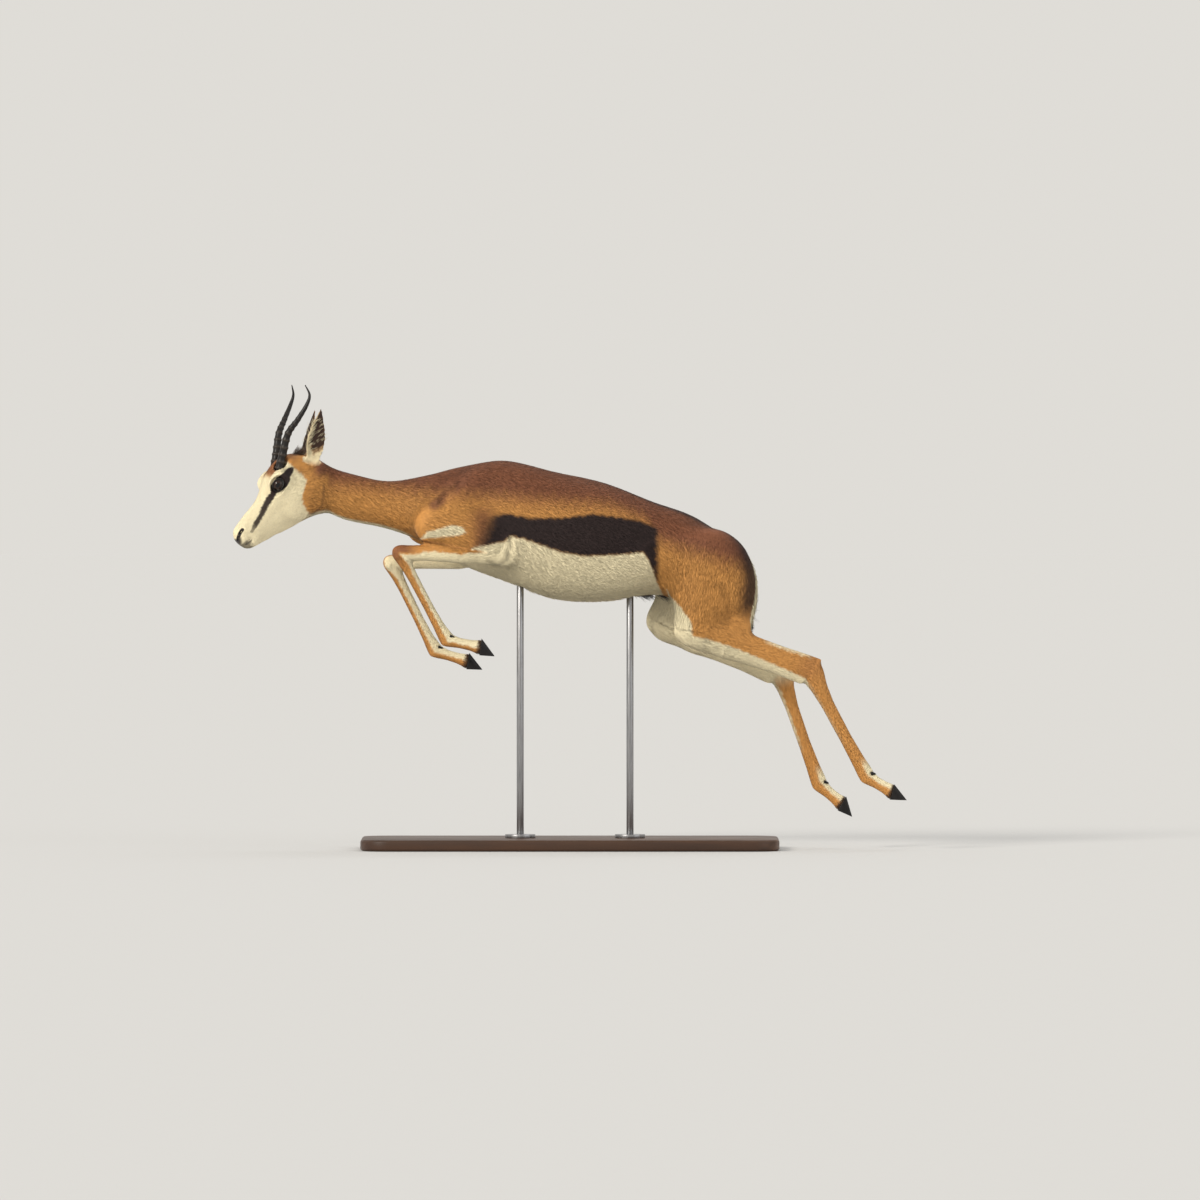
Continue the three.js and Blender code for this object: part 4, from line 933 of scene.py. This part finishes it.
def growCoat():
    middle = skinP[corners].mean(1)
    bare = (colours[corners][:, :, 3].max(1) > 0.4) | inEyeOpening(into(headFrame, middle))
    faces, weights = scatter(np.where(bare, 0, 1 / sizes[corners].mean(1)[:, 3] ** 2))
    order = np.argsort(middle[faces, 0])
    faces, weights = faces[order], weights[order]
    size = atRoots(sizes, faces, weights)
    length = size[:, 0] * rng.uniform(0.7, 1.25, len(faces))
    width = size[:, 1] * rng.uniform(0.8, 1.2, len(faces))
    lift = np.radians(rng.uniform(2.5, 5.5, len(faces)))
    root, out, lie = rootsOf(faces, weights)
    mark = marksAt(*nearSkin(root + 0.5 * length[:, None] * lie))[2]    # a tuft is coloured as its middle
    pieces = []
    for start in range(0, len(faces), coatLimit):
        part = slice(start, start + coatLimit)
        pieces.append(growTufts(f"coat_{len(pieces) + 1}", faces[part], weights[part], length[part],
                                width[part], size[part, 2], lift[part], 0.08, mark[part]))
    return pieces


lockSizes = {  # one lock for each square of this side, length, width, lift in degrees, spread and droop
    "tail": (0.0020, 0.046, 0.0018, (2, 16), 0.10, 0.05),
    "crown": (0.0016, 0.026, 0.0013, (40, 70), 0.25, 0.15),
    "sheath": (0.0022, 0.024, 0.0015, (10, 45), 0.15, 0.0),
    "feet": (0.0015, 0.0085, 0.0009, (4, 16), 0.15, 0.0),
    "rump": (0.0036, 0.024, 0.0016, (3, 10), 0.14, 0.0),
    "belly": (0.0045, 0.017, 0.0015, (4, 12), 0.16, 0.0),
    "ear": (0.0019, 0.015, 0.0010, (4, 14), 0.12, 0.0)}


def growLocks(name, share, mark=None, way=None):  # share is 1 on the skin points that carry the locks
    apart, length, width, lift, spread, droop = lockSizes[name.split("_")[1]]
    faces, weights = scatter(share[corners].mean(1) / apart ** 2)
    count = len(faces)
    lengths, widths = length * rng.uniform(0.6, 1.15, count), width * rng.uniform(0.8, 1.2, count)
    lifts = np.radians(rng.uniform(*lift, count))
    thick = np.full(count, width * 0.4)
    return growTufts(name, faces, weights, lengths, widths, thick, lifts, spread, mark, 3, droop, way)


white, black, soot = np.array(((1.0, 0.0, 0.0, 0.0), (0.0, 1.0, 0.0, 0.0), (0.1, 0.75, 0.6, 0.0)))


def growAllLocks():
    x, y, z = skinP.T
    c, tailUp = into(crownFrame, skinP), zones["tail"]["along"] / (len(tailLine) - 1)
    onTail, onBody = (owner == "tail") * 1.0, owner == "trunk"
    crown = ramp(0.016, 0.008, np.linalg.norm(c - crownTuft, axis=1)) * (c[:, 2] > 0.045)
    places = ramp(0.016, 0.009, np.abs(x - 0.166)) + ramp(0.008, 0.004, np.abs(x - 0.203))
    sheath = places * ramp(0.012, 0.006, np.abs(y)) * (skinN[:, 2] < -0.3) * onBody
    coronet = sum((owner == leg) * ramp(3.84, 3.90, zones[leg]["along"]) for leg in legPoses)
    rump = ramp(0.335, 0.350, x) * ramp(0.46, 0.50, z) * ramp(0.004, -0.004, np.abs(y) - table(rumpHalf, z))
    belly = ramp(-0.6, -0.85, skinN[:, 2]) * onBody * ramp(-0.20, -0.14, x) * ramp(0.19, 0.15, x)
    pieces = [growLocks("locks_tail", onTail * ramp(0.50, 0.62, tailUp), black),
              growLocks("locks_crown", crown, 0.85 * black),
              growLocks("locks_sheath", sheath, black, unit(np.array((0.8, 0, -0.6)))),
              growLocks("locks_feet", coronet, soot),
              growLocks("locks_rump", rump * (1 - onTail), white),
              growLocks("locks_belly", belly)]
    for side in ears:
        up, across, opens = earPlace(side, skinP)
        cup = (skinN @ np.array(crownFrame)[:3, :3]) @ opens > 0.1
        edge = (ramp(0.60, 0.72, across) + 0.04) * ramp(0.97, 0.85, across)
        edge *= (owner == "ear_" + side) * cup * ramp(0.20, 0.32, up) * ramp(0.92, 0.80, up)
        axis = unit(np.array(ears[side]["tip"]) - np.array(ears[side]["root"]))
        way = np.array(crownFrame)[:3, :3] @ unit(axis - 0.8 * ears[side]["inner"] * np.cross(axis, opens))
        pieces.append(growLocks("locks_ear_" + side, edge, white, way))
    return pieces


coat = growCoat() + growAllLocks()
print("coat grown:", len(coat), "pieces,", sum(len(piece.data.polygons) for piece in coat), "triangles")


def newGroup(name, inputs, outputs):
    tree = bpy.data.node_groups.new(name, "ShaderNodeTree")
    for label, kind, value in inputs:
        socket = tree.interface.new_socket(label, in_out="INPUT", socket_type=kind)
        socket.default_value = value
    for label, kind in outputs:
        tree.interface.new_socket(label, in_out="OUTPUT", socket_type=kind)
    return tree, tree.nodes.new("NodeGroupInput"), tree.nodes.new("NodeGroupOutput")


def addNode(tree, kind, **values):
    node = tree.nodes.new(kind)
    for key, value in values.items():
        setattr(node, key, value)
    return node


def feed(tree, socket, value):
    if isinstance(value, bpy.types.NodeSocket):
        tree.links.new(value, socket)
    else:
        socket.default_value = value


def mixColours(tree, share, first, second, how="MIX"):
    node = addNode(tree, "ShaderNodeMix", data_type="RGBA", blend_type=how)
    for socket, value in ((node.inputs[0], share), (node.inputs[6], first), (node.inputs[7], second)):
        feed(tree, socket, value)
    return node.outputs[2]


def maths(tree, how, first, second=0.0, third=0.0, clamp=False):
    node = addNode(tree, "ShaderNodeMath", operation=how, use_clamp=clamp)
    for socket, value in zip(node.inputs, (first, second, third)):
        feed(tree, socket, value)
    return node.outputs[0]


def noiseOn(tree, vector, scale, detail=3.0):
    node = addNode(tree, "ShaderNodeTexNoise")
    node.inputs["Scale"].default_value = scale
    node.inputs["Detail"].default_value = detail
    tree.links.new(vector, node.inputs["Vector"])
    return node.outputs["Fac"]


def greyOf(tree, value):
    grey = addNode(tree, "ShaderNodeCombineColor")
    for socket in grey.inputs:
        tree.links.new(value, socket)
    return grey.outputs[0]


def tint(r, g, b):
    return tuple(((v / 255 + 0.055) / 1.055) ** 2.4 if v > 10 else v / 255 / 12.92 for v in (r, g, b)) + (1.0,)


coatTints = {"Ochre": tint(212, 150, 80), "Cinnamon": tint(132, 82, 56), "Cream": tint(245, 231, 192),
             "Dark": tint(44, 31, 30), "Skin": tint(40, 34, 34)}


def buildCoatGroup():
    inputs = [(key, "NodeSocketColor", value) for key, value in coatTints.items()]
    outputs = [("Color", "NodeSocketColor"), ("Bare", "NodeSocketFloat"), ("Height", "NodeSocketFloat")]
    tree, start, end = newGroup("coatMarkings", inputs, outputs)
    marks = addNode(tree, "ShaderNodeAttribute", attribute_name="marks")
    parts = addNode(tree, "ShaderNodeSeparateColor")
    tree.links.new(marks.outputs["Color"], parts.inputs[0])
    where = addNode(tree, "ShaderNodeTexCoord").outputs["Object"]
    broad, fine = noiseOn(tree, where, 14), noiseOn(tree, where, 260, 2)
    base = mixColours(tree, parts.outputs[2], start.outputs["Ochre"], start.outputs["Cinnamon"])
    warm = mixColours(tree, maths(tree, "MULTIPLY", broad, 0.14), base, start.outputs["Cinnamon"])
    pale = mixColours(tree, parts.outputs[0], warm, start.outputs["Cream"])
    dark = mixColours(tree, parts.outputs[1], pale, start.outputs["Dark"])
    skinned = mixColours(tree, marks.outputs["Alpha"], dark, start.outputs["Skin"])
    speckle = greyOf(tree, maths(tree, "MULTIPLY_ADD", fine, 0.20, 0.90))
    tree.links.new(mixColours(tree, 1.0, skinned, speckle, "MULTIPLY"), end.inputs["Color"])
    tree.links.new(marks.outputs["Alpha"], end.inputs["Bare"])
    tree.links.new(fine, end.inputs["Height"])
    return tree


def buildTuftGroup():  # a tuft darker at its root, with its own lightness, shaded partly as the skin is
    inputs = [("Color", "NodeSocketColor", coatTints["Ochre"]), ("Follow", "NodeSocketFloat", 0.85)]
    outputs = [("Color", "NodeSocketColor"), ("Normal", "NodeSocketVector")]
    tree, start, end = newGroup("tuftLook", inputs, outputs)
    strand = addNode(tree, "ShaderNodeAttribute", attribute_name="strand")
    split = addNode(tree, "ShaderNodeSeparateXYZ")
    tree.links.new(strand.outputs["Vector"], split.inputs[0])
    own = maths(tree, "MULTIPLY_ADD", split.outputs[1], 0.26, 0.82)
    lightness = maths(tree, "MULTIPLY_ADD", split.outputs[0], 0.08, own)
    tree.links.new(mixColours(tree, 1.0, start.outputs["Color"], greyOf(tree, lightness), "MULTIPLY"),
                   end.inputs["Color"])
    over = addNode(tree, "ShaderNodeAttribute", attribute_name="over")
    facing = addNode(tree, "ShaderNodeNewGeometry")
    mix = addNode(tree, "ShaderNodeMix", data_type="VECTOR")
    tree.links.new(start.outputs["Follow"], mix.inputs[0])
    tree.links.new(facing.outputs["Normal"], mix.inputs[4])
    tree.links.new(over.outputs["Vector"], mix.inputs[5])
    even = addNode(tree, "ShaderNodeVectorMath", operation="NORMALIZE")
    tree.links.new(mix.outputs[1], even.inputs[0])
    tree.links.new(even.outputs[0], end.inputs["Normal"])
    return tree


def buildGrainGroup():  # grain drawn out along one axis
    inputs = [("Stretch", "NodeSocketVector", (1, 1, 1)), ("Scale", "NodeSocketFloat", 40.0),
              ("Contrast", "NodeSocketFloat", 1.0)]
    outputs = [("Mask", "NodeSocketFloat"), ("Height", "NodeSocketFloat")]
    tree, start, end = newGroup("drawnGrain", inputs, outputs)
    stretched = addNode(tree, "ShaderNodeVectorMath", operation="MULTIPLY")
    tree.links.new(addNode(tree, "ShaderNodeTexCoord").outputs["Object"], stretched.inputs[0])
    tree.links.new(start.outputs["Stretch"], stretched.inputs[1])
    noise = addNode(tree, "ShaderNodeTexNoise")
    noise.inputs["Detail"].default_value = 5
    tree.links.new(stretched.outputs[0], noise.inputs["Vector"])
    tree.links.new(start.outputs["Scale"], noise.inputs["Scale"])
    centred = maths(tree, "SUBTRACT", noise.outputs["Fac"], 0.5)
    sharpened = maths(tree, "MULTIPLY_ADD", centred, start.outputs["Contrast"], 0.5, clamp=True)
    tree.links.new(sharpened, end.inputs["Mask"])
    tree.links.new(noise.outputs["Fac"], end.inputs["Height"])
    return tree


coatGroup, tuftGroup, grainGroup = buildCoatGroup(), buildTuftGroup(), buildGrainGroup()


def newMaterial(name, **sockets):
    material = bpy.data.materials.new(name)
    material.use_nodes = True
    shader = next(node for node in material.node_tree.nodes if node.type == "BSDF_PRINCIPLED")
    for key, value in sockets.items():
        shader.inputs[key.replace("_", " ")].default_value = value
    return material, material.node_tree, shader


def addBump(tree, shader, height, strength, distance):
    bump = addNode(tree, "ShaderNodeBump")
    bump.inputs["Strength"].default_value = strength
    bump.inputs["Distance"].default_value = distance
    tree.links.new(height, bump.inputs["Height"])
    tree.links.new(bump.outputs["Normal"], shader.inputs["Normal"])


def addGroup(tree, group, **sockets):
    node = addNode(tree, "ShaderNodeGroup", node_tree=group)
    for key, value in sockets.items():
        feed(tree, node.inputs[key], value)
    return node.outputs


def grainedMaterial(name, finish):  # tints laid over each other through grains, or through a value of the mesh
    material, tree, shader = newMaterial(name, **finish["shader"])
    grains = [addGroup(tree, grainGroup, Stretch=stretch, Scale=scale, Contrast=contrast)
              for stretch, scale, contrast in finish["grains"]]
    colour = tint(*finish["base"])
    for source, share, over in finish["layers"]:
        if isinstance(source, str):
            mask = addNode(tree, "ShaderNodeAttribute", attribute_name=source).outputs["Fac"]
        else:
            mask = grains[source]["Mask"]
        colour = mixColours(tree, maths(tree, "MULTIPLY", mask, share), colour, tint(*over))
    tree.links.new(colour, shader.inputs["Base Color"])
    feed(tree, shader.inputs["Roughness"], maths(tree, "MULTIPLY_ADD", grains[0]["Mask"], *finish["rough"]))
    addBump(tree, shader, grains[0]["Height"], *finish["bump"])
    return material


def skinMaterial():
    material, tree, shader = newMaterial("coat_skin", Specular_IOR_Level=0.25)
    group = addGroup(tree, coatGroup)
    tree.links.new(group["Color"], shader.inputs["Base Color"])
    tree.links.new(maths(tree, "MULTIPLY_ADD", group["Bare"], -0.34, 0.66), shader.inputs["Roughness"])
    addBump(tree, shader, group["Height"], 0.4, 0.0005)
    return material


def tuftMaterial():
    material, tree, shader = newMaterial("coat_tufts", Roughness=0.62, Specular_IOR_Level=0.22,
                                         Sheen_Weight=0.12, Sheen_Roughness=0.5)
    look = addGroup(tree, tuftGroup, Color=addGroup(tree, coatGroup)["Color"])
    tree.links.new(look["Color"], shader.inputs["Base Color"])
    tree.links.new(look["Normal"], shader.inputs["Normal"])
    return material


finishPiece(skin, skinMaterial(), "coat", fleshNodes)
tuftSurface = tuftMaterial()
for piece in coat:
    finishPiece(piece, tuftSurface, "coat")
print("coat shaded")


def eyeMaterial():  # a wide level pupil in a dark iris; gaze is the place on the eye in millimetres
    material, tree, shader = newMaterial("eye_dark", Roughness=0.06, Specular_IOR_Level=0.25,
                                         Coat_Weight=0.2, Coat_Roughness=0.02)
    gaze = addNode(tree, "ShaderNodeAttribute", attribute_name="gaze").outputs["Vector"]
    split = addNode(tree, "ShaderNodeSeparateXYZ")
    tree.links.new(gaze, split.inputs[0])

    def distance(wide, high):  # squared, on an oval of this size
        squares = [maths(tree, "POWER", maths(tree, "MULTIPLY", split.outputs[i], 1 / size), 2.0)
                   for i, size in enumerate((wide, high))]
        return maths(tree, "ADD", *squares)

    pupil = maths(tree, "MULTIPLY_ADD", distance(6.2, 3.4), -3.0, 3.6, clamp=True)
    rim = maths(tree, "MULTIPLY_ADD", distance(1.0, 1.0), 0.05, -4.6, clamp=True)
    iris = mixColours(tree, noiseOn(tree, gaze, 0.9, 4), tint(24, 15, 11), tint(52, 31, 19))
    ringed = mixColours(tree, rim, iris, tint(14, 9, 8))
    tree.links.new(mixColours(tree, pupil, ringed, tint(4, 4, 5)), shader.inputs["Base Color"])
    return material


lidFinish = {"shader": {"Specular_IOR_Level": 0.3}, "grains": [((1, 1, 1), 420, 1.6)], "base": (14, 12, 12),
             "layers": [(0, 1.0, (34, 28, 27))], "rough": (0.0, 0.40), "bump": (0.4, 0.0004)}
lidSizes = {"thick": 0.0013, "around": 80, "section": 10}


def buildEye(name, side, eyeSurface, lidSurface):
    out, ahead, above = eyeAxes(side)
    centre, radius = eyeCentre(side), eyeSizes["radius"]
    clearSelection()
    bpy.ops.mesh.primitive_uv_sphere_add(segments=64, ring_count=40, radius=radius,
                                         location=outOf(headFrame, centre[None])[0])
    eye = bpy.context.object
    eye.name = eye.data.name = name + "_ball"
    bpy.ops.object.transform_apply(location=True, rotation=True, scale=True)
    bpy.ops.object.shade_smooth()
    r = into(headFrame, pointsOf(eye)) - centre
    bulge = ramp(0.0105, 0.0, np.hypot(r @ ahead, r @ above)) * (r @ out > 0)   # the clear front of the eye
    setPoints(eye, outOf(headFrame, centre + r * (1 + 0.045 * bulge)[:, None]))
    writeValues(eye, "gaze", "FLOAT_VECTOR", np.stack([r @ ahead, r @ above, r @ out], 1) * 1000)
    finishPiece(eye, eyeSurface, "eye", [name])

    clearSelection()
    bpy.ops.mesh.primitive_torus_add(major_segments=lidSizes["around"], minor_segments=lidSizes["section"],
                                     major_radius=1.0, minor_radius=0.1)
    lid = bpy.context.object
    lid.name = lid.data.name = name.replace("eye", "lid")
    ring = pointsOf(lid)
    angle, outward = np.arctan2(ring[:, 1], ring[:, 0]), np.hypot(ring[:, 0], ring[:, 1]) - 1
    wide, high = eyeSizes["opening"]
    u, v = wide * np.cos(angle), high * np.sin(angle)
    drop = np.where(u > 0, eyeSizes["cornerDrop"] * (u / wide) ** 2, 0)
    u = u * (1 + eyeSizes["cornerReach"] * np.maximum(u, 0) / wide)
    v = v - drop
    depth = np.sqrt(np.maximum(radius ** 2 - np.minimum(u * u + v * v, 0.00021), 0)) + 0.0007
    thick = lidSizes["thick"] / 0.1 * (1 + 0.3 * (np.sin(angle) > 0))
    away = unit(np.stack([np.cos(angle) / wide, np.sin(angle) / high], 1))
    u, v = u + away[:, 0] * outward * thick * 1.25, v + away[:, 1] * outward * thick * 1.25
    w = depth + ring[:, 2] * thick
    placed = centre + u[:, None] * ahead + v[:, None] * above + w[:, None] * out
    setPoints(lid, outOf(headFrame, placed))
    editAll(lid)
    faceOutward()
    finishPiece(lid, lidSurface, "coat")


eyeSurface, lidSurface = eyeMaterial(), grainedMaterial("lid_skin", lidFinish)
buildEye("eye_left", -1, eyeSurface, lidSurface)
buildEye("eye_right", 1, eyeSurface, lidSurface)
print("eyes set")


hornSizes = {"path": [(-0.0965, 0.0145, 0.022), (-0.096, 0.015, 0.030), (-0.088, 0.020, 0.072),
                      (-0.078, 0.029, 0.120), (-0.060, 0.042, 0.151), (-0.042, 0.051, 0.184),
                      (-0.035, 0.051, 0.207), (-0.042, 0.042, 0.229)],
             "base": 0.0120, "tip": 0.0011, "rings": 15, "ringsTo": 0.70, "ringHeight": 0.0016, "rows": 240,
             "highest": 1.0440}
hornFinish = {"shader": {"Specular_IOR_Level": 0.3}, "grains": [((1, 1, 0.12), 170, 2.2)], "base": (14, 12, 12),
              "layers": [(0, 1.0, (36, 31, 28)), ("ring", 0.5, (78, 68, 58))], "rough": (0.22, 0.30),
              "bump": (0.55, 0.0006)}


def ringAt(t):
    phase = (t / hornSizes["ringsTo"]) ** 0.92 * hornSizes["rings"]
    fade = np.maximum(0, 1 - (t / hornSizes["ringsTo"]) ** 3)
    return np.exp(-((phase % 1 - 0.62) / 0.17) ** 2) * (t < hornSizes["ringsTo"]) * fade, fade


def buildHorn(name, side, surface):
    path = np.array(hornSizes["path"]) * (1, side, 1)
    line = outOf(crownFrame, smoothLine(path, hornSizes["rows"]))
    line[:, 2] = np.minimum(line[:, 2], hornSizes["highest"])
    t = np.linspace(0, 1, len(line))
    ring, fade = ringAt(t)
    radii = hornSizes["base"] + (hornSizes["tip"] - hornSizes["base"]) * t ** 1.12
    horn = curveTube(name + "_ringed", line, radii + hornSizes["ringHeight"] * ring - 0.0005 * fade, 18)
    along = nearest(pointsOf(horn), line)[1] / (len(line) - 1)
    writeValues(horn, "ring", "FLOAT", ringAt(along)[0])
    finishPiece(horn, surface, "horn", [name])


hornSurface = grainedMaterial("horn_black", hornFinish)
buildHorn("horn_left", -1, hornSurface)
buildHorn("horn_right", 1, hornSurface)
print("horns set")


hoofFinish = {"shader": {"Specular_IOR_Level": 0.25},
              "grains": [((1, 1, 0.35), 260, 2.0), ((1, 1, 1), 45, 1.4)],
              "base": (10, 10, 11), "layers": [(0, 1.0, (24, 22, 22)), (1, 0.2, (52, 46, 42))],
              "rough": (0.25, 0.26), "bump": (0.6, 0.0005)}
dewclawOut = {"foreleg": 0.0045, "hindleg": 0.0020}     # the small rear claws stand clear of the hair


def roundEdges(obj, width, sharp, smooth):
    applyModifier(obj, "BEVEL", width=width, segments=2, limit_method="ANGLE", angle_limit=math.radians(sharp))
    pick(obj)
    bpy.ops.object.shade_smooth_by_angle(angle=math.radians(smooth))


def buildHooves():
    surface = grainedMaterial("hoof_black", hoofFinish)
    for name in [key for key in nodes if "claw" in key]:
        piece = copyNode(name, name + "_horn")
        if "dewclaw" in name:
            leg, points = name.split("_dewclaw")[0], pointsOf(piece)
            middle = points.mean(0)
            away = (middle - nearest(middle[None], legLine(leg)[0])[2][0]) * (1, 0, 1)
            setPoints(piece, points + dewclawOut[kindOf(leg)] * unit(away))
        roundEdges(piece, 0.0009, 34, 50)
        applyModifier(piece, "SUBSURF", levels=1, render_levels=1)
        finishPiece(piece, surface, "hoof", [name])


buildHooves()
print("hooves set")


woodFinish = {"shader": {"Specular_IOR_Level": 0.4},
              "grains": [((0.10, 1, 1), 70, 2.6), ((0.05, 1, 0.6), 14, 3.0)],
              "base": (58, 38, 26), "layers": [(1, 1.0, (96, 64, 42)), (0, 0.5, (42, 27, 19))],
              "rough": (0.2, 0.34), "bump": (0.35, 0.0005)}
steelFinish = {"shader": {"Metallic": 1.0}, "grains": [((1, 1, 0.03), 900, 1.8)], "base": (128, 128, 130),
               "layers": [(0, 1.0, (176, 176, 178))], "rough": (0.18, 0.26), "bump": (0.25, 0.0002)}


def dressStand():
    wood = grainedMaterial("stand_oiled_wood", woodFinish), "stand_wood"
    steel = grainedMaterial("stand_brushed_steel", steelFinish), "stand_steel"
    for name in [key for key in nodes if key.startswith("stand_")]:
        piece, isBase = copyNode(name, name + "_finished"), name == "stand_base"
        roundEdges(piece, *((0.0012, 20, 40) if isBase else (0.0006, 40, 40)))
        finishPiece(piece, *(wood if isBase else steel), [name])


dressStand()
print("stand dressed")


studio = {"floor": 120.0, "air": (0.74, 0.72, 0.68)}
suns = [  # soft lamps, each from its own side; angle is how wide it looks
    {"name": "keyLight", "from": (-0.62, -0.68, 0.46), "energy": 1.95, "colour": (1.0, 0.95, 0.87),
     "angle": 16},
    {"name": "fillLight", "from": (0.80, -0.55, 0.35), "energy": 0.35, "colour": (0.94, 0.97, 1.0),
     "angle": 40},
    {"name": "topLight", "from": (0.15, 0.40, 0.90), "energy": 0.55, "colour": (0.96, 0.98, 1.0),
     "angle": 35}]


def paperTint():  # makes the lit floor as bright as the air behind it, so that no horizon shows
    light = sum(sun["energy"] * unit(np.array(sun["from"]))[2] * np.array(sun["colour"]) for sun in suns)
    air = np.array(studio["air"])
    return air / (light / math.pi + air)


def buildStudio():
    clearSelection()
    bpy.ops.mesh.primitive_plane_add(size=studio["floor"], location=(0, 0, -0.0005))
    floor = bpy.context.object
    floor.name = "floor"
    bpy.ops.object.transform_apply(location=True)
    material, tree, shader = newMaterial("floor_paper", Roughness=0.9, Specular_IOR_Level=0.0)
    mask = addGroup(tree, grainGroup, Scale=30, Contrast=1.0)["Mask"]
    light, dark = (tuple(paperTint() * share) + (1.0,) for share in (1.008, 0.992))
    tree.links.new(mixColours(tree, mask, light, dark), shader.inputs["Base Color"])
    floor.data.materials.append(material)
    world = bpy.data.worlds.new("studioAir")
    world.use_nodes = True
    world.node_tree.nodes["Background"].inputs["Color"].default_value = studio["air"] + (1.0,)
    bpy.context.scene.world = world
    for sun in suns:
        clearSelection()
        direction = Vector(sun["from"])
        bpy.ops.object.light_add(type="SUN", location=direction * 6,
                                 rotation=direction.to_track_quat("Z", "Y").to_euler())
        lamp = bpy.context.object
        lamp.name = sun["name"]
        lamp.data.energy, lamp.data.color = sun["energy"], sun["colour"]
        lamp.data.angle = math.radians(sun["angle"])
    bpy.context.scene.view_settings.view_transform = "Standard"


buildStudio()
print("studio lit")
